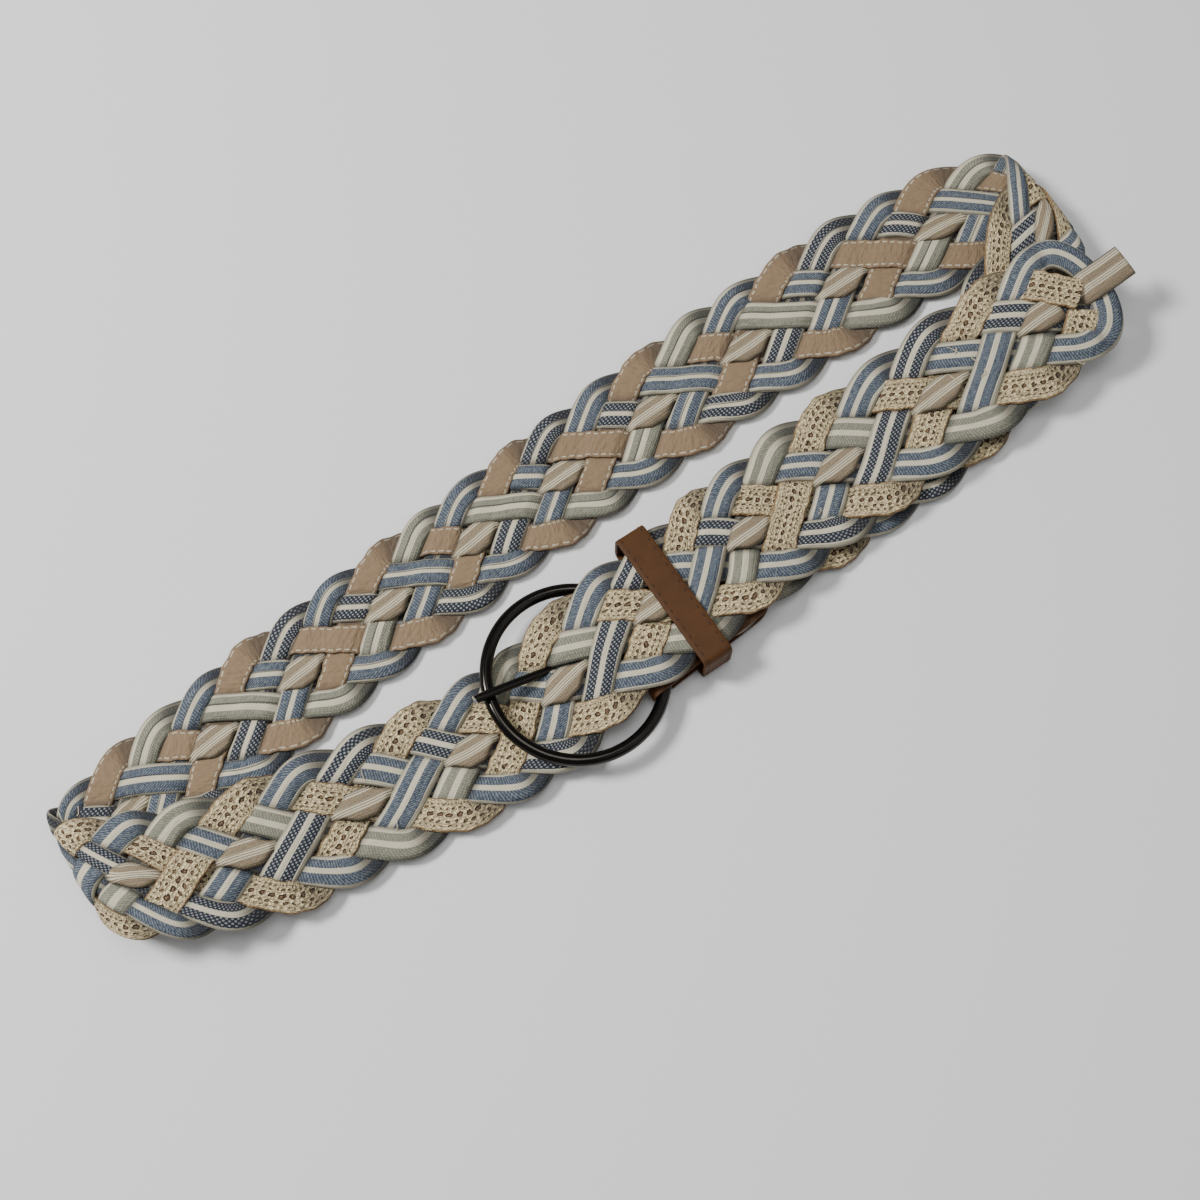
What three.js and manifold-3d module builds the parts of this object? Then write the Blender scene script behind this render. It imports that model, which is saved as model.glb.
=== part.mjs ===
// Braided ribbon belt, lying as a flattened loop with its ring buckle fastened.
// Units are millimetres, +Z is up, the belt rests on Z = 0 and its box is centred on the origin.
import * as THREE from 'three';
import Module from 'manifold-3d';
import { mergeVertices } from 'three/addons/utils/BufferGeometryUtils.js';

const wasm = await Module();
wasm.setup();

// Strap
const LOOP_HALF_LENGTH = 232;
const STRAP_WIDTH = 52;
const RIBBON_WIDTH = 8.6;
const RIBBON_THICKNESS = 1.4;
const RIBBON_GAP = 0.35;
const LAYER_GAP = 0.4;
const TRIM_GAP = 0.05;
const TRIM_FROM = 0.002;
const CORE_WIDTH = 9.6;
const CORE_PINCH = 2.6;
const CORE_END_WIDTH = 13.5;

// Buckle
const RING_OUTER = 72;
const RING_WIRE = 4.8;
const PRONG_WIRE = 3.4;
const PRONG_EYE_WALL = 1.3;
const PRONG_PLAY = 2;
const FIT_GAP = 0.3;

// Leather
const LEATHER_THICKNESS = 1.4;
const TAB_WIDTH = 48;
const TAB_LENGTH = 61;
const TAB_CORNER = 12;
const KEEPER_WIDTH = 12.4;
const KEEPER_SPAN = 60;
const KEEPER_CORNER = 3;

// Where the pieces of the braid begin and end, counted in crossings
const BRAID_START = -24.2;
const BRAID_END = 27.6;
const END_TURN = 27.5;
const END_REACH = 0.5;

// Worked-out sizes of the braid
const LEVEL_STEP = RIBBON_THICKNESS + RIBBON_GAP;
const STRAP_THICKNESS = 2 * LEVEL_STEP + RIBBON_THICKNESS;
const LAYER_STEP = STRAP_THICKNESS + LAYER_GAP;

// The strap's course, one row for each bend or stretch, from the buckle end to the tail.
// crossing counts the crossings on the braid's centre line. along is a share of LOOP_HALF_LENGTH
// and across a share of STRAP_WIDTH. lift counts layers of strap under this one. lean turns the
// width direction in plan and roll lifts its far edge, in degrees. width is a share of STRAP_WIDTH.
const COURSE = [
  { crossing: -25.5, along: -0.050, across: -0.720, lift: 0.64, lean: -4, roll: 0, width: 0.88 },
  { crossing: -24.5, along: 0.045, across: -0.695, lift: 0.64, lean: -4, roll: 0, width: 0.88 },
  { crossing: -23.0, along: 0.195, across: -0.650, lift: 0.66, lean: -4, roll: 0, width: 0.90 },
  { crossing: -22.5, along: 0.247, across: -0.637, lift: 0.62, lean: -3, roll: 0, width: 0.92 },
  { crossing: -21.5, along: 0.352, across: -0.620, lift: 0.03, lean: -1, roll: 0, width: 0.95 },
  { crossing: -20.0, along: 0.515, across: -0.610, lift: 0.00, lean: 0, roll: 0, width: 0.96 },
  { crossing: -19.0, along: 0.613, across: -0.575, lift: 0.10, lean: 5, roll: 0, width: 0.96 },
  { crossing: -18.0, along: 0.710, across: -0.500, lift: 0.60, lean: 12, roll: 2, width: 0.96 },
  { crossing: -17.0, along: 0.803, across: -0.340, lift: 1.15, lean: 20, roll: 5, width: 0.96 },
  { crossing: -16.0, along: 0.897, across: -0.090, lift: 1.95, lean: 20, roll: 8, width: 0.96 },
  { crossing: -15.2, along: 0.966, across: 0.170, lift: 2.75, lean: 10, roll: 7, width: 0.97 },
  { crossing: -14.6, along: 1.010, across: 0.350, lift: 2.75, lean: 2, roll: 4, width: 0.98 },
  { crossing: -14.1, along: 1.028, across: 0.480, lift: 1.75, lean: 0, roll: 0, width: 0.99 },
  { crossing: -13.6, along: 1.010, across: 0.590, lift: 0.70, lean: 0, roll: 0, width: 1.00 },
  { crossing: -13.0, along: 0.960, across: 0.680, lift: 0.12, lean: 0, roll: 0, width: 1.01 },
  { crossing: -12.0, along: 0.860, across: 0.745, lift: 0.00, lean: 0, roll: 0, width: 1.03 },
  { crossing: -11.0, along: 0.755, across: 0.770, lift: 0.00, lean: 0, roll: 0, width: 1.04 },
  { crossing: -9.0, along: 0.544, across: 0.765, lift: 0.00, lean: 1, roll: 0, width: 1.02 },
  { crossing: -7.0, along: 0.336, across: 0.730, lift: 0.00, lean: 1, roll: 0, width: 1.00 },
  { crossing: -5.0, along: 0.134, across: 0.670, lift: 0.00, lean: 2, roll: 0, width: 0.97 },
  { crossing: -3.0, along: -0.049, across: 0.620, lift: 0.00, lean: 3, roll: 0, width: 0.93 },
  { crossing: -1.0, along: -0.231, across: 0.545, lift: 0.00, lean: 4, roll: 0, width: 0.91 },
  { crossing: 1.0, along: -0.411, across: 0.470, lift: 0.00, lean: 4, roll: 0, width: 0.92 },
  { crossing: 3.0, along: -0.586, across: 0.385, lift: 0.00, lean: 5, roll: 0, width: 0.94 },
  { crossing: 5.0, along: -0.762, across: 0.280, lift: 0.00, lean: 5, roll: 0, width: 0.95 },
  { crossing: 6.0, along: -0.850, across: 0.205, lift: 0.10, lean: 4, roll: 0, width: 0.96 },
  { crossing: 6.8, along: -0.917, across: 0.130, lift: 0.60, lean: 2, roll: 0, width: 0.97 },
  { crossing: 7.5, along: -0.949, across: 0.020, lift: 1.75, lean: 0, roll: 0, width: 0.98 },
  { crossing: 8.2, along: -0.925, across: -0.120, lift: 2.95, lean: -4, roll: 0, width: 0.99 },
  { crossing: 9.0, along: -0.875, across: -0.270, lift: 3.20, lean: -6, roll: 0, width: 1.00 },
  { crossing: 10.0, along: -0.805, across: -0.420, lift: 2.55, lean: -5, roll: 1, width: 1.02 },
  { crossing: 11.0, along: -0.718, across: -0.530, lift: 1.65, lean: -5, roll: 4, width: 1.03 },
  { crossing: 12.0, along: -0.628, across: -0.600, lift: 1.05, lean: -5, roll: 6, width: 1.03 },
  { crossing: 13.0, along: -0.530, across: -0.650, lift: 0.65, lean: -5, roll: 4, width: 1.03 },
  { crossing: 14.0, along: -0.432, across: -0.700, lift: 0.30, lean: -5, roll: 1, width: 1.03 },
  { crossing: 15.0, along: -0.340, across: -0.760, lift: 0.42, lean: -3, roll: 0, width: 1.03 },
  { crossing: 16.0, along: -0.250, across: -0.775, lift: 0.62, lean: 0, roll: 0, width: 1.02 },
  { crossing: 16.6, along: -0.196, across: -0.755, lift: 0.74, lean: 4, roll: 0, width: 1.02 },
  { crossing: 17.1, along: -0.151, across: -0.725, lift: 1.18, lean: 6, roll: 0, width: 1.02 },
  { crossing: 18.0, along: -0.060, across: -0.660, lift: 1.84, lean: 4, roll: 0, width: 1.02 },
  { crossing: 19.0, along: 0.040, across: -0.645, lift: 1.96, lean: 2, roll: 0, width: 1.02 },
  { crossing: 20.0, along: 0.142, across: -0.600, lift: 1.98, lean: 4, roll: 0, width: 1.03 },
  { crossing: 20.9, along: 0.220, across: -0.550, lift: 1.94, lean: 4, roll: 0, width: 1.05 },
  { crossing: 22.0, along: 0.325, across: -0.505, lift: 1.14, lean: 3, roll: 0, width: 1.08 },
  { crossing: 23.0, along: 0.430, across: -0.475, lift: 1.03, lean: 2, roll: 0, width: 1.09 },
  { crossing: 24.0, along: 0.535, across: -0.455, lift: 1.06, lean: 2, roll: 0, width: 1.10 },
  { crossing: 25.0, along: 0.650, across: -0.430, lift: 1.40, lean: 2, roll: 0, width: 1.10 },
  { crossing: 26.0, along: 0.763, across: -0.415, lift: 2.15, lean: 2, roll: 4, width: 1.09 },
  { crossing: 27.0, along: 0.870, across: -0.405, lift: 2.85, lean: 2, roll: 8, width: 1.05 },
  { crossing: 28.0, along: 0.976, across: -0.395, lift: 3.20, lean: 2, roll: 9, width: 0.98 },
  { crossing: 29.0, along: 1.080, across: -0.385, lift: 3.35, lean: 2, roll: 9, width: 0.95 },
];

// Smooth value of one column of COURSE at a crossing number
function courseValue(column, crossing) {
  const last = COURSE.length - 2;
  let row = 0;
  while (row < last && COURSE[row + 1].crossing <= crossing) row += 1;
  const before = COURSE[Math.max(row - 1, 0)];
  const from = COURSE[row];
  const to = COURSE[row + 1];
  const after = COURSE[Math.min(row + 2, last + 1)];
  const span = to.crossing - from.crossing;
  const share = (crossing - from.crossing) / span;
  const slopeFrom = (to[column] - before[column]) / (to.crossing - before.crossing);
  const slopeTo = (after[column] - from[column]) / (after.crossing - from.crossing);
  const s2 = share * share;
  const s3 = s2 * share;
  return (2 * s3 - 3 * s2 + 1) * from[column] + (s3 - 2 * s2 + share) * span * slopeFrom
    + (3 * s2 - 2 * s3) * to[column] + (s3 - s2) * span * slopeTo;
}

// Point on the strap's middle
function courseCentre(crossing) {
  return new THREE.Vector3(
    courseValue('along', crossing) * LOOP_HALF_LENGTH,
    courseValue('across', crossing) * STRAP_WIDTH,
    STRAP_THICKNESS / 2 + courseValue('lift', crossing) * LAYER_STEP,
  );
}

// Directions of the strap at a crossing number: along it, across it and out of its outer face
function courseFrame(crossing) {
  const tick = 0.05;
  const centre = courseCentre(crossing);
  const along = courseCentre(crossing + tick).sub(courseCentre(crossing - tick));
  const pitch = along.length() / (2 * tick);
  along.normalize();
  const lean = THREE.MathUtils.degToRad(courseValue('lean', crossing));
  const roll = THREE.MathUtils.degToRad(courseValue('roll', crossing));
  const across = new THREE.Vector3(
    -Math.sin(lean) * Math.cos(roll),
    Math.cos(lean) * Math.cos(roll),
    Math.sin(roll),
  );
  const outward = new THREE.Vector3().crossVectors(along, across).normalize();
  return { centre, along, across, outward, pitch };
}

// A point given by crossing number, distance across and height over the strap's middle
function strapPoint(crossing, sideways, height) {
  const frame = courseFrame(crossing);
  return frame.centre
    .addScaledVector(frame.across, sideways)
    .addScaledVector(frame.outward, height);
}

// Closed ribbon through sections { crossing, sideways, height, tilt, half, thickness }
function ribbonGeometry(sections) {
  const vertices = [];
  const faces = [];
  sections.forEach((section) => {
    const { pitch } = courseFrame(section.crossing);
    const tilt = THREE.MathUtils.degToRad(section.tilt);
    const back = (-Math.sin(tilt) * section.half) / pitch;
    const side = Math.cos(tilt) * section.half;
    const up = section.thickness / 2;
    const corners = [[-1, -1], [1, -1], [1, 1], [-1, 1]];
    corners.forEach(([edge, face]) => {
      const point = strapPoint(
        section.crossing + edge * back,
        section.sideways + edge * side,
        section.height + face * up,
      );
      vertices.push(point.x, point.y, point.z);
    });
  });
  for (let ring = 0; ring + 1 < sections.length; ring += 1) {
    for (let corner = 0; corner < 4; corner += 1) {
      const a = ring * 4 + corner;
      const b = ring * 4 + ((corner + 1) % 4);
      faces.push(a, b, b + 4, a, b + 4, a + 4);
    }
  }
  const end = (sections.length - 1) * 4;
  faces.push(0, 2, 1, 0, 3, 2);
  faces.push(end, end + 1, end + 2, end, end + 2, end + 3);
  const geometry = new THREE.BufferGeometry();
  geometry.setAttribute('position', new THREE.Float32BufferAttribute(vertices, 3));
  geometry.setIndex(faces);
  return geometry;
}

// Sideways place of a diagonal strand, as a share of its swing, by crossings since its rise
const WAVE_SHARPNESS = 0.92;
function wave(since) {
  return Math.asin(WAVE_SHARPNESS * Math.sin((Math.PI * since) / 3)) / Math.asin(WAVE_SHARPNESS);
}

// Swing of the strand's middle at a crossing number
function swing(crossing) {
  return (STRAP_WIDTH * courseValue('width', crossing) - RIBBON_WIDTH) / 2;
}

// Where a strand changes level, by crossings since its rise. even and odd are the levels before
// the change, for strands that pass over or under the others in the middle. Six crossings repeat.
// tilt is the slant of the strand's cross-section, in degrees from square to the strap.
const RAMP = 0.02;
const LEVEL_CHANGES = [
  { at: -0.75, even: -0.5, odd: -0.5, tilt: 58 },
  { at: -0.25, even: 0.5, odd: 0.5, tilt: 52 },
  { at: 0.25, even: 1, odd: -1, tilt: 52 },
  { at: 0.75, even: -0.5, odd: -0.5, tilt: 58 },
  { at: 1.5, even: 0.5, odd: 0.5, tilt: 0 },
  { at: 2.25, even: -0.5, odd: -0.5, tilt: -58 },
  { at: 2.75, even: 0.5, odd: 0.5, tilt: -52 },
  { at: 3.25, even: 0, odd: 0, tilt: -52 },
  { at: 3.75, even: -0.5, odd: -0.5, tilt: -58 },
  { at: 4.5, even: 0.5, odd: 0.5, tilt: 0 },
];

// Stations { crossing, level, tilt } of the strand that rises at order, order + 6 and so on
function strandStations(order) {
  const parity = order % 2 === 0 ? 'even' : 'odd';
  const firstRound = Math.floor((BRAID_START - order) / 6) - 1;
  const lastRound = Math.ceil((BRAID_END - order) / 6) + 1;
  const stations = [];
  for (let round = firstRound; round <= lastRound; round += 1) {
    const rise = order + 6 * round;
    LEVEL_CHANGES.forEach((change, index) => {
      const next = LEVEL_CHANGES[(index + 1) % LEVEL_CHANGES.length];
      stations.push({ crossing: rise + change.at - RAMP, level: change[parity], tilt: change.tilt });
      stations.push({ crossing: rise + change.at + RAMP, level: next[parity], tilt: change.tilt });
    });
  }
  return stations;
}

function between(first, second, share) {
  return {
    crossing: THREE.MathUtils.lerp(first.crossing, second.crossing, share),
    level: THREE.MathUtils.lerp(first.level, second.level, share),
    tilt: THREE.MathUtils.lerp(first.tilt, second.tilt, share),
  };
}

// Stations from one crossing number to another, with new ones at both cuts
function clipStations(stations, start, end) {
  const kept = [];
  for (let index = 0; index + 1 < stations.length; index += 1) {
    const first = stations[index];
    const second = stations[index + 1];
    const span = second.crossing - first.crossing;
    if (first.crossing < start && second.crossing > start) {
      kept.push(between(first, second, (start - first.crossing) / span));
    }
    if (first.crossing >= start && first.crossing <= end) kept.push(first);
    if (first.crossing < end && second.crossing > end) {
      kept.push(between(first, second, (end - first.crossing) / span));
    }
  }
  return kept;
}

// More stations where the strap bends, one for each BEND_STEP of turn
const BEND_STEP = THREE.MathUtils.degToRad(26);
function bendStations(stations) {
  const refined = [];
  stations.forEach((station, index) => {
    refined.push(station);
    const next = stations[index + 1];
    if (!next) return;
    const turn = courseFrame(station.crossing).outward.angleTo(courseFrame(next.crossing).outward);
    const steps = Math.ceil(turn / BEND_STEP);
    for (let step = 1; step < steps; step += 1) {
      refined.push(between(station, next, step / steps));
    }
  });
  return refined;
}

// Section of a diagonal strand at a station
function strandSection(order, { crossing, level, tilt }) {
  const since = crossing - order;
  const tick = 0.02;
  const rate = (wave(since + tick) - wave(since - tick)) / (2 * tick);
  const slope = Math.atan2(rate * swing(crossing), courseFrame(crossing).pitch);
  const skew = THREE.MathUtils.degToRad(tilt) - slope;
  return {
    crossing,
    sideways: swing(crossing) * wave(since),
    height: level * LEVEL_STEP,
    tilt,
    half: RIBBON_WIDTH / 2 / Math.cos(skew),
    thickness: RIBBON_THICKNESS,
  };
}

// The two blue strands close the tail: each runs on from its last edge turn in a quarter arc
const ARC_STEPS = 5;
const ARC_SWEEP = 74;
function endArc(edge, level) {
  const sections = [];
  const { pitch } = courseFrame(END_TURN);
  for (let step = 0; step <= ARC_STEPS; step += 1) {
    const turn = THREE.MathUtils.degToRad((ARC_SWEEP * step) / ARC_STEPS);
    const crossing = END_TURN + END_REACH * Math.sin(turn);
    const lean = Math.atan2(swing(END_TURN) * Math.sin(turn), END_REACH * pitch * Math.cos(turn));
    sections.push({
      crossing,
      sideways: edge * swing(END_TURN) * Math.cos(turn),
      height: level * LEVEL_STEP,
      tilt: -edge * THREE.MathUtils.radToDeg(lean),
      half: RIBBON_WIDTH / 2,
      thickness: RIBBON_THICKNESS,
    });
  }
  return sections;
}

// All sections of a diagonal strand. edge is 1 or -1 for the strands that close the tail
function strandSections(order, edge) {
  const end = edge === 0 ? BRAID_END : END_TURN - 0.1;
  const stations = bendStations(clipStations(strandStations(order), BRAID_START, end));
  const sections = stations.map((station) => strandSection(order, station));
  return edge === 0 ? sections : sections.concat(endArc(edge, 0.5));
}

// The core runs straight, wide where it shows and pinched where it changes sides
const CORE_SHAPE = [
  { since: -0.38, width: 0 },
  { since: -0.19, width: 1 },
  { since: 0.19, width: 1 },
  { since: 0.38, width: 0 },
];
// Past the last crossing the core's end lies flat over the closing arcs
const CORE_END = [
  { crossing: 27.45, width: 0.1, level: 1 },
  { crossing: 27.62, width: 0.6, level: 1.6 },
  { crossing: 27.75, width: 1, level: 1.9 },
  { crossing: 28.62, width: 1, level: 1.9 },
];
function coreSections() {
  const stations = [];
  for (let crossing = Math.ceil(BRAID_START); crossing < BRAID_END; crossing += 1) {
    const level = crossing % 2 === 0 ? -1 : 1;
    CORE_SHAPE.forEach(({ since, width }) => {
      stations.push({
        crossing: crossing + since,
        level,
        tilt: THREE.MathUtils.lerp(CORE_PINCH, CORE_WIDTH, width),
      });
    });
  }
  stations.pop();
  CORE_END.forEach(({ crossing, width, level }) => {
    stations.push({ crossing, level, tilt: THREE.MathUtils.lerp(CORE_PINCH, CORE_END_WIDTH, width) });
  });
  return bendStations(stations).map(({ crossing, level, tilt }) => ({
    crossing,
    sideways: 0,
    height: level * LEVEL_STEP,
    tilt: 0,
    half: tilt / 2,
    thickness: RIBBON_THICKNESS,
  }));
}

// Solid of a closed geometry, and the geometry of a solid
function solidOf(geometry) {
  geometry.deleteAttribute('normal');
  geometry.deleteAttribute('uv');
  const merged = mergeVertices(geometry, 1e-4);
  return new wasm.Manifold(new wasm.Mesh({
    numProp: 3,
    vertProperties: new Float32Array(merged.attributes.position.array),
    triVerts: new Uint32Array(merged.index.array),
  }));
}
function geometryOf(solid) {
  const mesh = solid.getMesh();
  const geometry = new THREE.BufferGeometry();
  geometry.setAttribute('position', new THREE.BufferAttribute(mesh.vertProperties, 3));
  geometry.setIndex(new THREE.BufferAttribute(mesh.triVerts, 1));
  return geometry;
}

// Stack at the buckle, from the table up: keeper, tab, strap, tab, tail, keeper
const TAB_LOW = LEATHER_THICKNESS + FIT_GAP;
const TAB_INSIDE_LOW = TAB_LOW + LEATHER_THICKNESS;
const TAB_INSIDE_HIGH = TAB_INSIDE_LOW + STRAP_THICKNESS + 2 * FIT_GAP;
const TAB_HIGH = TAB_INSIDE_HIGH + LEATHER_THICKNESS;
const KEEPER_INSIDE_HIGH = TAB_HIGH + STRAP_THICKNESS + 2 * FIT_GAP;
const KEEPER_HIGH = KEEPER_INSIDE_HIGH + LEATHER_THICKNESS;

// The ring lies tilted: its far side is held in the tab and its near side rides over the strap
const RING_RADIUS = (RING_OUTER - RING_WIRE) / 2;
const RING_CENTRE = { along: -0.1336, across: -0.712 };
const RING_LIFT = 1.39;
const RING_HELD_HEIGHT = TAB_INSIDE_LOW + FIT_GAP + RING_WIRE / 2;
const RING_X = RING_CENTRE.along * LOOP_HALF_LENGTH;
const RING_Y = RING_CENTRE.across * STRAP_WIDTH;
const RING_TILT = Math.atan2(RING_LIFT * LAYER_STEP, 2 * RING_RADIUS);
const RING_HEIGHT = RING_HELD_HEIGHT + RING_RADIUS * Math.sin(RING_TILT);

function ringGeometry(wire) {
  const geometry = new THREE.TorusGeometry(RING_RADIUS, wire / 2, 8, 36);
  geometry.rotateY(RING_TILT);
  geometry.translate(RING_X, RING_Y, RING_HEIGHT);
  return geometry;
}

// The prong hangs by an eye on the ring's held side, runs under the strap, comes up through the
// braid and rests on the ring's other side. reach is a share of the ring's middle diameter from
// the eye and height counts layers of strap above the table.
const PRONG_COURSE = [
  { reach: 0.058, height: 1.10 },
  { reach: 0.25, height: 1.00 },
  { reach: 0.42, height: 0.95 },
  { reach: 0.52, height: 1.10 },
  { reach: 0.72, height: 2.12 },
  { reach: 0.99, height: 3.33 },
  { reach: 1.06, height: 3.52 },
];
const PRONG_EYE_ACROSS = -0.663;
const PRONG_TIP_ACROSS = -0.525;

function prongCurve() {
  const span = 2 * RING_RADIUS;
  const from = PRONG_EYE_ACROSS * STRAP_WIDTH;
  const to = PRONG_TIP_ACROSS * STRAP_WIDTH;
  const points = PRONG_COURSE.map(({ reach, height }) => new THREE.Vector3(
    RING_X + RING_RADIUS * Math.cos(RING_TILT) - reach * span,
    THREE.MathUtils.lerp(from, to, reach),
    height * LAYER_STEP,
  ));
  return new THREE.CatmullRomCurve3(points, false, 'centripetal');
}

function rodGeometry(curve, radius, sides, steps) {
  const outline = new THREE.Shape();
  for (let side = 0; side < sides; side += 1) {
    const turn = (2 * Math.PI * side) / sides;
    const point = [radius * Math.cos(turn), radius * Math.sin(turn)];
    if (side === 0) outline.moveTo(...point);
    else outline.lineTo(...point);
  }
  outline.closePath();
  return new THREE.ExtrudeGeometry(outline, { extrudePath: curve, steps });
}

// Flat ring of a rectangular section round the Y axis, for the prong's eye
function eyeGeometry(inner, outer, width) {
  const profile = [
    new THREE.Vector2(inner, -width / 2),
    new THREE.Vector2(outer, -width / 2),
    new THREE.Vector2(outer, width / 2),
    new THREE.Vector2(inner, width / 2),
    new THREE.Vector2(inner, -width / 2),
  ];
  return new THREE.LatheGeometry(profile, 16);
}

function prongSolid() {
  const inner = RING_WIRE / 2 + 2 * FIT_GAP;
  const eye = eyeGeometry(inner, inner + PRONG_EYE_WALL, PRONG_WIRE);
  const eyeX = RING_X + RING_RADIUS * Math.cos(RING_TILT);
  eye.translate(eyeX, PRONG_EYE_ACROSS * STRAP_WIDTH, RING_HELD_HEIGHT);
  const rod = rodGeometry(prongCurve(), PRONG_WIRE / 2, 8, 18);
  return solidOf(rod).add(solidOf(eye));
}

// Room for the prong where it passes through the braid
function prongRoom() {
  return solidOf(rodGeometry(prongCurve(), PRONG_WIRE / 2 + FIT_GAP, 8, 18));
}

// Upright slab from a closed outline drawn in X and Z, extruded along Y about a middle
function slabAlongY(shape, width, middle) {
  const geometry = new THREE.ExtrudeGeometry(shape, { depth: width, bevelEnabled: false, curveSegments: 6 });
  geometry.rotateX(Math.PI / 2);
  geometry.translate(0, middle + width / 2, 0);
  return geometry;
}

// The tab is folded round the ring and holds the strap's end between its two plies
const TAB_FOLD_X = -0.052 * LOOP_HALF_LENGTH;
const TAB_MIDDLE = -0.715 * STRAP_WIDTH;
const TAB_TURN = THREE.MathUtils.degToRad(4.5);

function tabSolid() {
  const outer = (TAB_HIGH - TAB_LOW) / 2;
  const middleHeight = (TAB_HIGH + TAB_LOW) / 2;
  const foldX = TAB_FOLD_X + outer;
  const endX = TAB_FOLD_X + TAB_LENGTH;
  const profile = new THREE.Shape();
  profile.moveTo(endX, TAB_LOW);
  profile.lineTo(endX, TAB_INSIDE_LOW);
  profile.lineTo(foldX, TAB_INSIDE_LOW);
  profile.absarc(foldX, middleHeight, outer - LEATHER_THICKNESS, -Math.PI / 2, Math.PI / 2, true);
  profile.lineTo(endX, TAB_INSIDE_HIGH);
  profile.lineTo(endX, TAB_HIGH);
  profile.lineTo(foldX, TAB_HIGH);
  profile.absarc(foldX, middleHeight, outer, Math.PI / 2, -Math.PI / 2, false);
  profile.closePath();
  const folded = solidOf(slabAlongY(profile, TAB_WIDTH, 0));

  const half = TAB_WIDTH / 2;
  const plan = new THREE.Shape();
  plan.moveTo(TAB_FOLD_X - 1, -half);
  plan.lineTo(endX - TAB_CORNER, -half);
  plan.absarc(endX - TAB_CORNER, TAB_CORNER - half, TAB_CORNER, -Math.PI / 2, 0, false);
  plan.absarc(endX - TAB_CORNER, half - TAB_CORNER, TAB_CORNER, 0, Math.PI / 2, false);
  plan.lineTo(TAB_FOLD_X - 1, half);
  plan.closePath();
  const block = new THREE.ExtrudeGeometry(plan, { depth: TAB_HIGH + 2, bevelEnabled: false, curveSegments: 6 });
  const outlined = folded.intersect(solidOf(block));

  const placed = geometryOf(outlined);
  placed.translate(-TAB_FOLD_X, 0, 0);
  placed.rotateZ(TAB_TURN);
  placed.translate(TAB_FOLD_X, TAB_MIDDLE, 0);
  const slotWidth = PRONG_WIRE + 2 * PRONG_PLAY;
  const slotReach = RING_X + RING_RADIUS + RING_WIRE / 2 + PRONG_EYE_WALL + 3 * FIT_GAP;
  const slot = new THREE.BoxGeometry(slotReach - TAB_FOLD_X + 10, slotWidth, 4 * TAB_HIGH);
  slot.translate((slotReach + TAB_FOLD_X - 10) / 2, PRONG_EYE_ACROSS * STRAP_WIDTH, 0);
  const ringRoom = solidOf(ringGeometry(RING_WIRE + 2 * FIT_GAP));
  return solidOf(placed).subtract(solidOf(slot)).subtract(ringRoom);
}

// The keeper is a closed leather loop round the tab, the strap's end and the tail
const KEEPER_X = 0.0655 * LOOP_HALF_LENGTH;
const KEEPER_Y = -0.644 * STRAP_WIDTH;

function roundedBox(path, low, high, half, corner) {
  path.moveTo(-half + corner, low);
  path.lineTo(half - corner, low);
  path.absarc(half - corner, low + corner, corner, -Math.PI / 2, 0, false);
  path.absarc(half - corner, high - corner, corner, 0, Math.PI / 2, false);
  path.absarc(corner - half, high - corner, corner, Math.PI / 2, Math.PI, false);
  path.absarc(corner - half, low + corner, corner, Math.PI, 1.5 * Math.PI, false);
  return path;
}

function keeperGeometry() {
  const half = KEEPER_SPAN / 2;
  const outline = roundedBox(new THREE.Shape(), 0, KEEPER_HIGH, half, KEEPER_CORNER);
  const inside = roundedBox(
    new THREE.Path(),
    LEATHER_THICKNESS,
    KEEPER_INSIDE_HIGH,
    half - LEATHER_THICKNESS,
    KEEPER_CORNER - LEATHER_THICKNESS,
  );
  outline.holes.push(inside);
  const options = { depth: KEEPER_WIDTH, bevelEnabled: false, curveSegments: 4 };
  const geometry = new THREE.ExtrudeGeometry(outline, options);
  geometry.translate(0, 0, -KEEPER_WIDTH / 2);
  geometry.rotateX(Math.PI / 2);
  geometry.rotateZ(Math.PI / 2);
  geometry.translate(KEEPER_X, KEEPER_Y, 0);
  return geometry;
}

const belt = new THREE.Group();
belt.name = 'braided_ribbon_belt';

function addPiece(name, geometry, colour, roughness, metalness) {
  const material = new THREE.MeshStandardMaterial({ color: colour, roughness, metalness });
  const mesh = new THREE.Mesh(geometry, material);
  mesh.name = name;
  belt.add(mesh);
}

// edge tells the two strands that close the tail: 1 from the far edge, -1 from the near edge
const STRANDS = [
  { name: 'strand_navy', order: 0, edge: 0, colour: 0x3a4558 },
  { name: 'strand_lace_first', order: 1, edge: 0, colour: 0xd9c49a },
  { name: 'strand_blue_first', order: 2, edge: 1, colour: 0x7f98b8 },
  { name: 'strand_grey_green', order: 3, edge: 0, colour: 0xa9ada2 },
  { name: 'strand_lace_second', order: 4, edge: 0, colour: 0xd6c096 },
  { name: 'strand_blue_second', order: 5, edge: -1, colour: 0x7a94b5 },
];

// A piece trimmed by what it would cut into; chips that come loose are left out
function biggestPart(solid) {
  const parts = solid.decompose();
  return parts.reduce((best, part) => (part.volume() > best.volume() ? part : best));
}
function swollen(sections) {
  return solidOf(ribbonGeometry(sections.map((section) => ({
    ...section,
    half: section.half + TRIM_GAP,
    thickness: section.thickness + 2 * TRIM_GAP,
  }))));
}

const strandPieces = STRANDS.map(({ name, order, edge, colour }) => (
  { name, colour, sections: strandSections(order, edge) }
));
strandPieces.push({ name: 'strand_taupe_core', colour: 0xb3a08a, sections: coreSections() });

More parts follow.
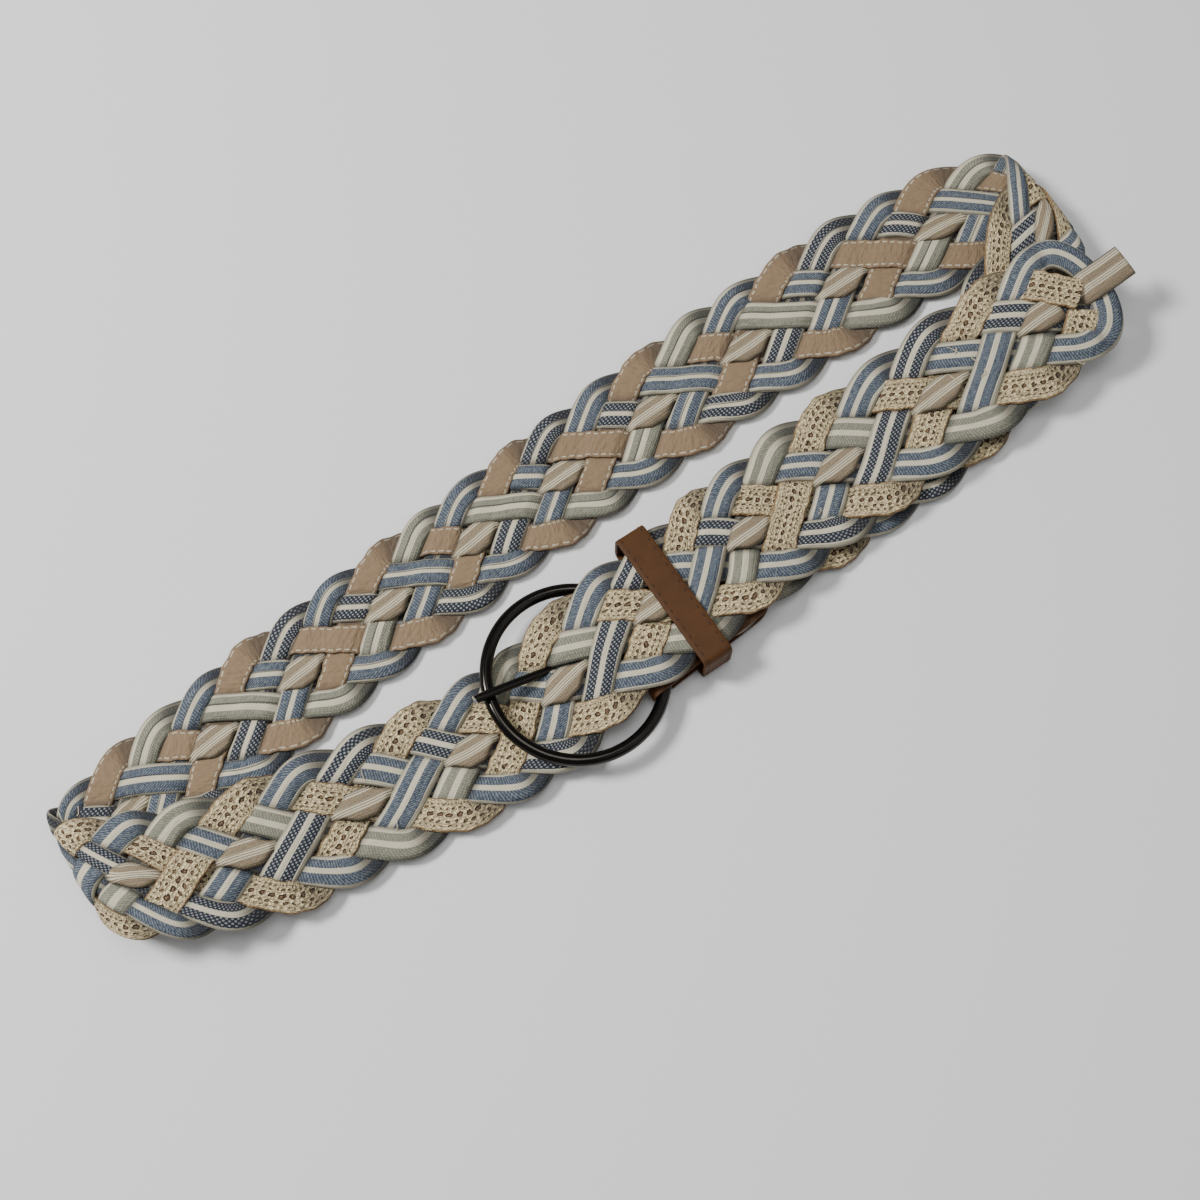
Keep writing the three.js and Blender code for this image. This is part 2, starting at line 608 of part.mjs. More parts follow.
const room = prongRoom();
const placedStrands = [];
strandPieces.forEach(({ name, colour, sections }) => {
  let solid = solidOf(ribbonGeometry(sections)).subtract(room);
  placedStrands.forEach((placed) => {
    if (solid.intersect(placed.solid).volume() > TRIM_FROM) solid = solid.subtract(placed.swollen);
  });
  solid = biggestPart(solid);
  placedStrands.push({ solid, swollen: swollen(sections) });
  addPiece(name, geometryOf(solid), colour, 0.9, 0);
});
addPiece('buckle_ring', ringGeometry(RING_WIRE), 0x3c3a37, 0.25, 1);
addPiece('buckle_prong', geometryOf(prongSolid()), 0x3c3a37, 0.25, 1);
addPiece('leather_tab', geometryOf(tabSolid()), 0x6b4420, 0.6, 0);
addPiece('keeper_loop', keeperGeometry(), 0x6b4420, 0.6, 0);

// The belt stands on Z = 0 with its box centred on the origin
const box = new THREE.Box3().setFromObject(belt);
const middle = box.getCenter(new THREE.Vector3());
belt.children.forEach((mesh) => mesh.geometry.translate(-middle.x, -middle.y, -box.min.z));

export default belt;
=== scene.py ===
"""Braided ribbon belt, lying as a flattened loop with its ring buckle fastened."""
import math

import bmesh
import bpy
import numpy as np
from bpy.props import FloatProperty, FloatVectorProperty, PointerProperty
from mathutils import Matrix, Vector


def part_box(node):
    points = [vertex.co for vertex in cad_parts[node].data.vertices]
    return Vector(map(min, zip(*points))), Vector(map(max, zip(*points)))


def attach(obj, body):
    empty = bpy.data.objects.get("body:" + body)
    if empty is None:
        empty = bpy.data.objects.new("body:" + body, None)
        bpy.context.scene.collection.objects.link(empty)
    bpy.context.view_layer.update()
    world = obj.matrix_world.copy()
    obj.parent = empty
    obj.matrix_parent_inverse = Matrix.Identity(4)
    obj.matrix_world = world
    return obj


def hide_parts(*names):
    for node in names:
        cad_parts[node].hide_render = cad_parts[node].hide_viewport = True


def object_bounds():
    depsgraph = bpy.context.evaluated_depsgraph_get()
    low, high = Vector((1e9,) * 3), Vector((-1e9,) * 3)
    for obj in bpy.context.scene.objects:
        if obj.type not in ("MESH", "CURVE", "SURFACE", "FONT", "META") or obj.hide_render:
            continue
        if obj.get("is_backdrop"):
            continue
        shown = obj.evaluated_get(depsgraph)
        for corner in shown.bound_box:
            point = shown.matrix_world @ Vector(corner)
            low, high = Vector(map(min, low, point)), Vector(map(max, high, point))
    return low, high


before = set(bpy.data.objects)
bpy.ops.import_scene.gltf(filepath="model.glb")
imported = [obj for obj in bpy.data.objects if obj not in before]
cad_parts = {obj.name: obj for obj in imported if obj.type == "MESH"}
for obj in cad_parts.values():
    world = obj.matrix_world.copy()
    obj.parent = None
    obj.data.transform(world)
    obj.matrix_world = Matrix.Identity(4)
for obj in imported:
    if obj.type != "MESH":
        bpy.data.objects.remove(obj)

bl_info = {
    "name": "Braided Ribbon Belt",
    "version": (1, 0, 0),
    "blender": (4, 5, 0),
    "location": "View3D > Sidebar > Belt",
    "description": "Dresses the belt's solids with soft ribbons, lace, leather and metal",
    "category": "Object",
}

MM = 0.001

# The strap's course: crossing number, share of the loop's half length, share of the strap's
# width, layers of strap underneath, lean and roll in degrees, share of the strap's width
COURSE_COLUMNS = ("crossing", "along", "across", "lift", "lean", "roll", "width")
COURSE = np.array((
    (-25.5, -0.050, -0.720, 0.64, -4, 0, 0.88),
    (-24.5, 0.045, -0.695, 0.64, -4, 0, 0.88),
    (-23.0, 0.195, -0.650, 0.66, -4, 0, 0.90),
    (-22.5, 0.247, -0.637, 0.62, -3, 0, 0.92),
    (-21.5, 0.352, -0.620, 0.03, -1, 0, 0.95),
    (-20.0, 0.515, -0.610, 0.00, 0, 0, 0.96),
    (-19.0, 0.613, -0.575, 0.10, 5, 0, 0.96),
    (-18.0, 0.710, -0.500, 0.60, 12, 2, 0.96),
    (-17.0, 0.803, -0.340, 1.15, 20, 5, 0.96),
    (-16.0, 0.897, -0.090, 1.95, 20, 8, 0.96),
    (-15.2, 0.966, 0.170, 2.75, 10, 7, 0.97),
    (-14.6, 1.010, 0.350, 2.75, 2, 4, 0.98),
    (-14.1, 1.028, 0.480, 1.75, 0, 0, 0.99),
    (-13.6, 1.010, 0.590, 0.70, 0, 0, 1.00),
    (-13.0, 0.960, 0.680, 0.12, 0, 0, 1.01),
    (-12.0, 0.860, 0.745, 0.00, 0, 0, 1.03),
    (-11.0, 0.755, 0.770, 0.00, 0, 0, 1.04),
    (-9.0, 0.544, 0.765, 0.00, 1, 0, 1.02),
    (-7.0, 0.336, 0.730, 0.00, 1, 0, 1.00),
    (-5.0, 0.134, 0.670, 0.00, 2, 0, 0.97),
    (-3.0, -0.049, 0.620, 0.00, 3, 0, 0.93),
    (-1.0, -0.231, 0.545, 0.00, 4, 0, 0.91),
    (1.0, -0.411, 0.470, 0.00, 4, 0, 0.92),
    (3.0, -0.586, 0.385, 0.00, 5, 0, 0.94),
    (5.0, -0.762, 0.280, 0.00, 5, 0, 0.95),
    (6.0, -0.850, 0.205, 0.10, 4, 0, 0.96),
    (6.8, -0.917, 0.130, 0.60, 2, 0, 0.97),
    (7.5, -0.949, 0.020, 1.75, 0, 0, 0.98),
    (8.2, -0.925, -0.120, 2.95, -4, 0, 0.99),
    (9.0, -0.875, -0.270, 3.20, -6, 0, 1.00),
    (10.0, -0.805, -0.420, 2.55, -5, 1, 1.02),
    (11.0, -0.718, -0.530, 1.65, -5, 4, 1.03),
    (12.0, -0.628, -0.600, 1.05, -5, 6, 1.03),
    (13.0, -0.530, -0.650, 0.65, -5, 4, 1.03),
    (14.0, -0.432, -0.700, 0.30, -5, 1, 1.03),
    (15.0, -0.340, -0.760, 0.42, -3, 0, 1.03),
    (16.0, -0.250, -0.775, 0.62, 0, 0, 1.02),
    (16.6, -0.196, -0.755, 0.74, 4, 0, 1.02),
    (17.1, -0.151, -0.725, 1.18, 6, 0, 1.02),
    (18.0, -0.060, -0.660, 1.84, 4, 0, 1.02),
    (19.0, 0.040, -0.645, 1.96, 2, 0, 1.02),
    (20.0, 0.142, -0.600, 1.98, 4, 0, 1.03),
    (20.9, 0.220, -0.550, 1.94, 4, 0, 1.05),
    (22.0, 0.325, -0.505, 1.14, 3, 0, 1.08),
    (23.0, 0.430, -0.475, 1.03, 2, 0, 1.09),
    (24.0, 0.535, -0.455, 1.06, 2, 0, 1.10),
    (25.0, 0.650, -0.430, 1.40, 2, 0, 1.10),
    (26.0, 0.763, -0.415, 2.15, 2, 4, 1.09),
    (27.0, 0.870, -0.405, 2.85, 2, 8, 1.05),
    (28.0, 0.976, -0.395, 3.20, 2, 9, 0.98),
    (29.0, 1.080, -0.385, 3.35, 2, 9, 0.95),
))

# Level of a diagonal strand over the strap's middle where it meets the others, by crossings
# since its rise. The pair is for strands of even and odd order. Six crossings repeat.
LEVELS = (
    (-1.0, -0.5, -0.5),
    (-0.5, 0.5, 0.5),
    (0.0, 1.0, -1.0),
    (0.5, -0.5, -0.5),
    (1.0, 0.5, 0.5),
    (2.0, -0.5, -0.5),
    (2.5, 0.5, 0.5),
    (3.0, 0.0, 0.0),
    (3.5, -0.5, -0.5),
    (4.0, 0.5, 0.5),
    (5.0, -0.5, -0.5),
)
PERIOD = 6

# Diagonal strands: node, order in the braid, edge it closes at the tail, finish
STRANDS = (
    ("strand_navy", 0, 0, "navy_weave"),
    ("strand_lace_first", 1, 0, "crochet_lace"),
    ("strand_blue_first", 2, 1, "blue_chambray"),
    ("strand_grey_green", 3, 0, "grey_green_heather"),
    ("strand_lace_second", 4, 0, "crochet_lace"),
    ("strand_blue_second", 5, -1, "blue_chambray"),
)

# Half outlines of a ribbon's cross-section from edge to edge: share of the half width, share of
# the half thickness. The same rows turned over make the back.
SOFT_TUBE = (
    (-1.0, 0.0), (-0.97, 0.34), (-0.88, 0.66), (-0.7, 0.88), (-0.4, 0.98),
    (0.0, 1.0), (0.4, 0.98), (0.7, 0.88), (0.88, 0.66), (0.97, 0.34), (1.0, 0.0),
)
FLAT_STRIP = (
    (-1.0, 0.0), (-1.0, 0.55), (-0.97, 0.8), (-0.9, 0.95), (-0.5, 1.0),
    (0.0, 1.0), (0.5, 1.0), (0.9, 0.95), (0.97, 0.8), (1.0, 0.55), (1.0, 0.0),
)


def length_setting(name, description, millimetres):
    """Setting that holds a length"""
    return FloatProperty(name=name, description=description, default=millimetres * MM, unit="LENGTH")


def colour_setting(name, description, default):
    """Setting that holds a colour"""
    return FloatVectorProperty(name=name, description=description, default=default, subtype="COLOR")


class StrapSettings(bpy.types.PropertyGroup):
    """Sizes of the braid"""
    half_length: length_setting("Loop half length", "Half the lying loop, bend to bend", 232)
    strap_width: length_setting("Strap width", "Width of the whole braid", 52)
    ribbon_thickness: length_setting("Ribbon thickness", "Thickness of one soft ribbon", 2.8)
    lace_thickness: length_setting("Lace thickness", "Leather backing and lace together", 2.4)
    level_step: length_setting("Level step", "Height from one ribbon to the one over it", 1.75)
    layer_step: length_setting("Layer step", "Height from one layer of strap to the next", 5.3)
    middle_height: length_setting("Middle height", "Middle of a strap that lies on the surface", 2.45)
    fill: FloatProperty(
        name="Fill", description="Ribbon width as a share of the room between neighbours",
        default=1.0, subtype="FACTOR",
    )
    core_width: length_setting("Core width", "Straight ribbon where it shows as a leaf", 11.5)
    core_pinch: length_setting("Core pinch", "Straight ribbon where it changes sides", 4.0)
    core_end: length_setting("Core end", "Straight ribbon's cut end", 13.5)


class BuckleSettings(bpy.types.PropertyGroup):
    """Sizes of the ring and prong"""
    ring_outer: length_setting("Ring", "Outer diameter of the ring", 72)
    ring_wire: length_setting("Ring wire", "Diameter of the ring's wire", 4.8)
    prong_wire: length_setting("Prong wire", "Diameter of the prong", 3.4)


class LeatherSettings(bpy.types.PropertyGroup):
    """Sizes of the leather pieces"""
    thickness: length_setting("Leather", "Thickness of the leather", 1.4)
    tab_width: length_setting("Tab width", "Width of the folded tab", 48)
    tab_length: length_setting("Tab length", "Fold to end of the tab", 61)
    tab_corner: length_setting("Tab corner", "Corner radius of the tab's end", 12)
    stitch_pitch: length_setting("Stitch pitch", "Stitch to stitch", 2.6)


class ColourSettings(bpy.types.PropertyGroup):
    """Colours of the finishes"""
    blue: colour_setting("Blue", "Chambray ribbon", (0.043, 0.060, 0.090))
    navy: colour_setting("Navy", "Navy ribbon's warp", (0.016, 0.021, 0.034))
    green: colour_setting("Grey-green", "Heather ribbon", (0.185, 0.182, 0.13))
    taupe: colour_setting("Taupe", "Straight ribbon", (0.245, 0.19, 0.12))
    cream: colour_setting("Cream", "Stripes", (0.63, 0.57, 0.42))
    lace: colour_setting("Lace", "Crochet thread", (0.72, 0.58, 0.335))
    tan: colour_setting("Tan leather", "Back of the lace ribbons", (0.245, 0.165, 0.095))
    brown: colour_setting("Brown leather", "Tab and keeper", (0.070, 0.026, 0.0052))
    metal: colour_setting("Metal", "Ring and prong", (0.032, 0.029, 0.026))


def settings(group):
    """One group of the belt's settings"""
    return getattr(bpy.context.scene, "belt_" + group)


# Middle of the keeper on the course, as shares of the loop's half length and the strap's width
KEEPER_ALONG = 0.0655
KEEPER_ACROSS = -0.644


def course_shift():
    """From the course's origin to the frame's, which is the middle of the belt's box"""
    low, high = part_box("keeper_loop")
    strap = settings("strap")
    middle = (low + high) / 2
    return np.array((
        middle.x - KEEPER_ALONG * strap.half_length,
        middle.y - KEEPER_ACROSS * strap.strap_width,
        low.z,
    ))


def course_value(column, crossing):
    """Smooth value of one column of COURSE at crossing numbers"""
    knots = COURSE[:, 0]
    values = COURSE[:, COURSE_COLUMNS.index(column)]
    row = np.clip(np.searchsorted(knots, crossing, side="right") - 1, 0, len(knots) - 2)
    before = np.maximum(row - 1, 0)
    after = np.minimum(row + 2, len(knots) - 1)
    span = knots[row + 1] - knots[row]
    share = (crossing - knots[row]) / span
    slope_from = (values[row + 1] - values[before]) / (knots[row + 1] - knots[before])
    slope_to = (values[after] - values[row]) / (knots[after] - knots[row])
    square, cube = share**2, share**3
    return (
        (2 * cube - 3 * square + 1) * values[row]
        + (cube - 2 * square + share) * span * slope_from
        + (3 * square - 2 * cube) * values[row + 1]
        + (cube - square) * span * slope_to
    )


def course_centre(crossing):
    """Middle of the strap at crossing numbers"""
    strap = settings("strap")
    return np.stack((
        course_value("along", crossing) * strap.half_length,
        course_value("across", crossing) * strap.strap_width,
        course_value("lift", crossing) * strap.layer_step + strap.middle_height,
    ), axis=-1) + course_shift()


def unit(vectors):
    """Vectors of length 1"""
    return vectors / np.linalg.norm(vectors, axis=-1, keepdims=True)


def course_frame(crossing):
    """Centre, width direction, outward direction and length of one crossing"""
    tick = 0.05
    step = course_centre(crossing + tick) - course_centre(crossing - tick)
    pitch = np.linalg.norm(step, axis=-1) / (2 * tick)
    lean = np.radians(course_value("lean", crossing))
    roll = np.radians(course_value("roll", crossing))
    across = np.stack((-np.sin(lean) * np.cos(roll), np.cos(lean) * np.cos(roll), np.sin(roll)), axis=-1)
    return course_centre(crossing), across, unit(np.cross(unit(step), across)), pitch


def strap_points(crossing, sideways, height):
    """Points at a place across the strap and a height over its middle, never under the table"""
    centre, across, outward, _ = course_frame(crossing)
    points = centre + across * sideways[..., None] + outward * height[..., None]
    points[..., 2] = np.maximum(points[..., 2], TABLE_GAP)
    return points


def smooth_step(share):
    """0 to 1 with soft ends"""
    share = np.clip(share, 0, 1)
    return share * share * (3 - 2 * share)


WAVE_SHARPNESS = 0.92
TABLE_GAP = 0.02 * MM


def wave(since):
    """Sideways place of a diagonal strand, as a share of its swing"""
    return np.arcsin(WAVE_SHARPNESS * np.sin(math.pi * since / 3)) / math.asin(WAVE_SHARPNESS)


# Crossings under which a level change is a short one, and the share of the stretch between two
# levels that a short and a long change take
SHORT_STRETCH = 0.75
SHORT_EASE = 0.3 / 0.55
LONG_EASE = 0.68


def strand_level(since, odd):
    """Level of a diagonal strand, eased between the places where it meets the others"""
    since = (since + 1) % PERIOD - 1
    level = np.zeros_like(since)
    for row, following in zip(LEVELS, LEVELS[1:] + ((LEVELS[0][0] + PERIOD, *LEVELS[0][1:]),)):
        start, end = row[0], following[0]
        ease = SHORT_EASE if end - start < SHORT_STRETCH else LONG_EASE
        share = smooth_step(((since - start) / (end - start) - 0.5) / ease + 0.5)
        inside = (since >= start) & (since < end)
        level = np.where(inside, row[1 + odd] + (following[1 + odd] - row[1 + odd]) * share, level)
    return level


# Slant in degrees between the edges, and how fast it comes in after an edge turn
CROSSING_TILT = 55
TILT_RISE = 2.1


def strand_tilt(since):
    """Slant of a strand's cross-section: along the strands it crosses, square at its edge turns"""
    turn = np.sin(math.pi * (since + 1.5) / 3)
    return np.radians(CROSSING_TILT) * np.clip(turn * TILT_RISE, -1, 1)


def sway(along, seed, reach):
    """Small slow unevenness of a hand-made strand"""
    return reach * (
        np.sin(along * 1.7 + seed * 2.1) * 0.5
        + np.sin(along * 3.9 + seed * 5.3) * 0.3
        + np.sin(along * 7.1 + seed * 1.3) * 0.2
    )


# Crossings round which the strap turns back, reach of the turn and times it is smoothed
BENDS = (-14.0, 7.5)
BEND_REACH = 2.0
BEND_PASSES = 40


def round_bends(points, crossing):
    """Takes the sharp fold out of the strands where the strap turns back"""
    away = np.min([np.abs(crossing - bend) for bend in BENDS], axis=0)
    share = 0.5 * (1 - smooth_step(away / BEND_REACH - 0.5))[1:-1, None, None]
    for _ in range(BEND_PASSES):
        middle = (points[:-2] + points[2:]) / 2
        points[1:-1] += (middle - points[1:-1]) * share
    return points


def sweep_mesh(name, outline, places):
    """Closed band. places gives, a row per section: crossing, sideways, height, tilt, half, thick"""
    crossing, sideways, height, tilt, half, thick = places
    front = np.array(outline)
    back = front[-2:0:-1] * (1, -1)
    ring = np.concatenate((front, back))
    _, _, _, pitch = course_frame(crossing)
    edge, face = ring[:, 0], ring[:, 1]
    cross = crossing[:, None] - edge * (np.sin(tilt) * half / pitch)[:, None]
    side = sideways[:, None] + edge * (np.cos(tilt) * half)[:, None]
    rise = height[:, None] + face * (thick / 2)[:, None]
    points = strap_points(cross, side, rise)
    middle = strap_points(crossing, sideways, height)
    length = np.concatenate(([0], np.cumsum(np.linalg.norm(np.diff(middle, axis=0), axis=1))))

    points = round_bends(points, crossing)
    rows, columns = cross.shape
    index = np.arange(rows * columns).reshape(rows, columns)
    following = np.roll(index, -1, axis=1)
    quads = np.stack((index[:-1], index[1:], following[1:], following[:-1]), axis=-1).reshape(-1, 4)
    faces = [tuple(int(corner) for corner in quad) for quad in quads]
    faces.append(tuple(int(corner) for corner in index[0]))
    faces.append(tuple(int(corner) for corner in index[-1][::-1]))
    mesh = bpy.data.meshes.new(name)
    mesh.from_pydata(points.reshape(-1, 3).tolist(), [], faces)

    # Distance across and along the band in millimetres, the share of the half width and the face
    flat = np.stack((edge[None, :] * half[:, None], np.repeat(length[:, None], columns, 1)), axis=-1) / MM
    layer = mesh.uv_layers.new(name="band")
    corners = np.zeros(len(mesh.loops), dtype=np.int32)
    mesh.loops.foreach_get("vertex_index", corners)
    layer.data.foreach_set("uv", flat.reshape(-1, 2)[corners].astype(np.float32).ravel())
    # The level of each section, from which the materials paint shade where a band dips under others
    level = np.repeat(height / settings("strap").level_step, columns)
    marks = {"rim": np.tile(edge, rows), "face": np.tile(face, rows), "level": level}
    for label, values in marks.items():
        attribute = mesh.attributes.new(label, "FLOAT", "POINT")
        attribute.data.foreach_set("value", values.astype(np.float32))
    mesh.polygons.foreach_set("use_smooth", np.ones(len(mesh.polygons), dtype=bool))
    band = bpy.data.objects.new(name, mesh)
    bpy.context.scene.collection.objects.link(band)
    face_outwards(band)
    return band


def select_only(obj):
    """Selects one piece and makes it active"""
    bpy.ops.object.select_all(action="DESELECT")
    obj.select_set(True)
    bpy.context.view_layer.objects.active = obj


def face_outwards(obj):
    """Turns a piece's faces outwards"""
    select_only(obj)
    bpy.ops.object.mode_set(mode="EDIT")
    bpy.ops.mesh.select_all(action="SELECT")
    bpy.ops.mesh.normals_make_consistent(inside=False)
    bpy.ops.object.mode_set(mode="OBJECT")


def settle(obj):
    """Puts the piece's place into its mesh"""
    select_only(obj)
    bpy.ops.object.transform_apply(location=True, rotation=True, scale=True)


def finish_piece(obj, node, material):
    """Gives a piece its material and its place in the record"""
    obj.data.materials.clear()
    obj.data.materials.append(material)
    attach(obj, "root")
    if node:
        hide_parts(node)


# Where the braid starts in the tab and stops in the tail, in crossings
BRAID_START = -24.2
BRAID_END = 27.6
END_TURN = 27.5
END_REACH = 0.5
SECTION_STEP = 0.04

# A diagonal ribbon: narrowest, widest, share of uneven width, how far it wanders sideways, and the
# rough width that its spacing is worked out with
RIBBON_NARROW = 8.6 * MM
RIBBON_WIDE = 13.2 * MM
RIBBON_UNEVEN = 0.07
RIBBON_WANDER = 0.8 * MM
ROUGH_RIBBON = 10 * MM

# The lace strand that closes the tail over the core's end: its order, where it starts to rise,
# its level there, how much shorter it runs from there on and how far past the other strands
CLOSING_LACE = 1
LACE_CLOSES = 26.9
LACE_END_LEVEL = 1.15
LACE_SHORTENS = 0.65
LACE_RUNS_ON = 0.5

# How far the edges of both lace strands wave in and out
LACE_SCALLOP = 0.38 * MM

# The arc that closes the tail: angles in degrees, sections, sections that ease its level, last
# half width
ARC_ANGLES = (4, 80)
ARC_SECTIONS = 20
ARC_EASE = 6
ARC_END_HALF = 5.2 * MM


def strand_places(order, edge, lace):
    """Sections of a diagonal strand, with the closing arc where it has one"""
    strap = settings("strap")
    end = END_TURN if edge else BRAID_END + (LACE_RUNS_ON if order == CLOSING_LACE else 0)
    crossing = np.arange(BRAID_START, end, SECTION_STEP)
    since = crossing - order
    _, _, _, pitch = course_frame(crossing)
    width = strap.strap_width * course_value("width", crossing)
    spacing = pitch * np.sin(np.arctan2(width - ROUGH_RIBBON, PERIOD / 2 * pitch))
    band = np.clip(spacing * strap.fill, RIBBON_NARROW, RIBBON_WIDE)
    band = band * (1 + sway(crossing, order, RIBBON_UNEVEN))
    swing = (width - band) / 2
    tick = 0.02
    rate = (wave(since + tick) - wave(since - tick)) / (2 * tick)
    slope = np.arctan2(rate * swing, pitch)
    tilt = strand_tilt(since) + sway(crossing, order + 0.4, 0.04)
    half = band / 2 / np.cos(tilt - slope)
    if lace:
        half += LACE_SCALLOP * (np.sin(crossing * 29.0) + np.sin(crossing * 17.3 + order)) / 2
    sideways = swing * wave(since) + sway(crossing, order + 0.7, RIBBON_WANDER)
    height = strand_level(since, order % 2) * strap.level_step
    if order == CLOSING_LACE:
        late = smooth_step((crossing - LACE_CLOSES) / 0.5)
        height += (LACE_END_LEVEL * strap.level_step - height) * late
        shortened = LACE_CLOSES + (crossing - LACE_CLOSES) * LACE_SHORTENS
        crossing = np.where(crossing > LACE_CLOSES, shortened, crossing)
    thick = np.full_like(crossing, strap.lace_thickness if lace else strap.ribbon_thickness)
    places = [crossing, sideways, height, tilt, half, thick]
    if edge:
        places = add_end_arc(places, edge)
    return places


def add_end_arc(places, edge):
    """The blue strands run on round the tail's end in a quarter arc"""
    turn = np.radians(np.linspace(*ARC_ANGLES, ARC_SECTIONS))
    swing = abs(places[1][-1])
    half = np.linspace(places[4][-1], ARC_END_HALF, ARC_SECTIONS)
    _, _, _, pitch = course_frame(np.array([END_TURN]))
    lean = np.arctan2(swing * np.sin(turn), END_REACH * pitch[0] * np.cos(turn))
    level = np.full(ARC_SECTIONS, 0.5 * settings("strap").level_step)
    level[:ARC_EASE] = np.linspace(places[2][-1], level[-1], ARC_EASE)
    arc = [
        END_TURN + END_REACH * np.sin(turn),
        edge * swing * np.cos(turn),
        level,
        -edge * lean,
        half,
        np.full(ARC_SECTIONS, places[5][-1]),
    ]
    return [np.concatenate((row, more)) for row, more in zip(places, arc)]


class BELT_OT_weave_strands(bpy.types.Operator):
    """Weave the six diagonal strands"""
    bl_idname = "belt.weave_strands"
    bl_label = "Weave diagonal strands"

    def execute(self, context):
        makers = {
            "navy_weave": navy_material,
            "blue_chambray": blue_material,
            "grey_green_heather": green_material,
            "crochet_lace": lace_material,
        }
        for node, order, edge, slot in STRANDS:
            lace = slot == "crochet_lace"
            outline = FLAT_STRIP if lace else SOFT_TUBE
            band = sweep_mesh(node + "_ribbon", outline, strand_places(order, edge, lace))
            finish_piece(band, node, makers[slot](node, order))
        return {"FINISHED"}


# The straight core's last stretch: crossing, level, share from its leaf width to its end width
CORE_END = (
    (27.12, 1.0, 0.0), (27.22, 0.7, -0.4), (27.36, -0.8, -1.5),
    (27.62, -0.6, 0.6), (27.84, 1.9, 1.0), (28.62, 1.95, 1.0),
)
# Crossings between which the core thins to its end, its thickness there and, as a share of the
# diagonal ribbons', before
CORE_THINS = (27.4, 27.9)
CORE_END_THICKNESS = 1.5 * MM
CORE_THICKNESS = 0.85


class BELT_OT_weave_core(bpy.types.Operator):
    """Weave the straight core that shows as leaves down the middle"""
    bl_idname = "belt.weave_core"
    bl_label = "Weave straight core"

    def execute(self, context):
        strap = settings("strap")
        crossing = np.arange(BRAID_START, CORE_END[-1][0], SECTION_STEP)
        near = np.round(crossing)
        away = np.abs(crossing - near)
        front = np.where(near % 2 == 0, -1.0, 1.0)
        level = front * (1 - smooth_step((away - 0.38) / 0.12))
        leaf = 1 - smooth_step((away - 0.1) / 0.36)
        half = (strap.core_pinch + (strap.core_width - strap.core_pinch) * leaf) / 2
        end = np.array(CORE_END)
        last = crossing > end[0, 0]
        level = np.where(last, np.interp(crossing, end[:, 0], end[:, 1]), level)
        ending = np.interp(crossing, end[:, 0], end[:, 2])
        end_half = (strap.core_width + (strap.core_end - strap.core_width) * ending) / 2
        half = np.where(last, end_half, half)
        thickness = strap.ribbon_thickness * CORE_THICKNESS
        places = [
            crossing,
            sway(crossing, 9, 0.5 * MM),
            level * strap.level_step,
            sway(crossing, 8, 0.05),
            half,
            np.interp(crossing, CORE_THINS, (thickness, CORE_END_THICKNESS)),
        ]
        band = sweep_mesh("strand_taupe_core_ribbon", SOFT_TUBE, places)
        finish_piece(band, "strand_taupe_core", taupe_material())
        return {"FINISHED"}


# The ring's rise over its width, in layers of strap
RING_LIFT = 1.39


def ring_place():
    """Centre, radius and tilt of the ring"""
    strap, buckle = settings("strap"), settings("buckle")
    radius = (buckle.ring_outer - buckle.ring_wire) / 2
    tilt = math.atan2(RING_LIFT * strap.layer_step, 2 * radius)
    low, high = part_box("buckle_ring")
    return (low + high) / 2, radius, tilt


class BELT_OT_bend_ring(bpy.types.Operator):
    """Bend the buckle's ring"""
    bl_idname = "belt.bend_ring"
    bl_label = "Bend ring"

    def execute(self, context):
        centre, radius, tilt = ring_place()
        bpy.ops.object.select_all(action="DESELECT")
        bpy.ops.mesh.primitive_torus_add(
            major_segments=128, minor_segments=28, major_radius=radius,
            minor_radius=settings("buckle").ring_wire / 2, location=centre, rotation=(0, tilt, 0),
        )
        ring = context.object
        ring.name = ring.data.name = "buckle_ring_wire"
        settle(ring)
        bpy.ops.object.shade_smooth()
        finish_piece(ring, "buckle_ring", metal_material())
        return {"FINISHED"}


# Prong: share of the ring's middle diameter from its eye, height in layers of strap
PRONG_COURSE = (
    (0.058, 1.10), (0.25, 1.00), (0.42, 0.95), (0.52, 1.10), (0.72, 2.12), (0.99, 3.33), (1.06, 3.52),
)
# Places of the prong's eye and tip, as shares of the strap's width
PRONG_EYE_ACROSS = -0.663
PRONG_TIP_ACROSS = -0.525
# The eye: room between its middle line and the ring's wire, radius of its wall, stretch sideways
EYE_ROOM = 1.25 * MM
EYE_WALL = 0.65 * MM
EYE_STRETCH = 2.5
# Rounding of the prong's cut ends
PRONG_CUT_EDGE = 0.45 * MM


def prong_points():
    """Knots of the prong's middle line from its eye to its tip"""
    strap = settings("strap")
    centre, radius, tilt = ring_place()
    shift = course_shift()
    eye_x = centre.x + radius * math.cos(tilt)
    points = []
    for reach, height in PRONG_COURSE:
        across = PRONG_EYE_ACROSS + (PRONG_TIP_ACROSS - PRONG_EYE_ACROSS) * reach
        points.append(Vector((
            eye_x - reach * 2 * radius,
            across * strap.strap_width + shift[1],
            height * strap.layer_step + shift[2],
        )))
    return points


def rod_along(name, points, radius, bevel_sides):
    """Round rod through points, as a mesh"""
    curve = bpy.data.curves.new(name, "CURVE")
    curve.dimensions = "3D"
    spline = curve.splines.new("BEZIER")
    spline.bezier_points.add(len(points) - 1)
    for knot, point in zip(spline.bezier_points, points):
        knot.co = point
        knot.handle_left_type = knot.handle_right_type = "AUTO"
    curve.resolution_u = 10
    curve.bevel_depth = radius
    curve.bevel_resolution = bevel_sides
    curve.use_fill_caps = True
    rod = bpy.data.objects.new(name, curve)
    bpy.context.scene.collection.objects.link(rod)
    select_only(rod)
    bpy.ops.object.convert(target="MESH")
    return rod


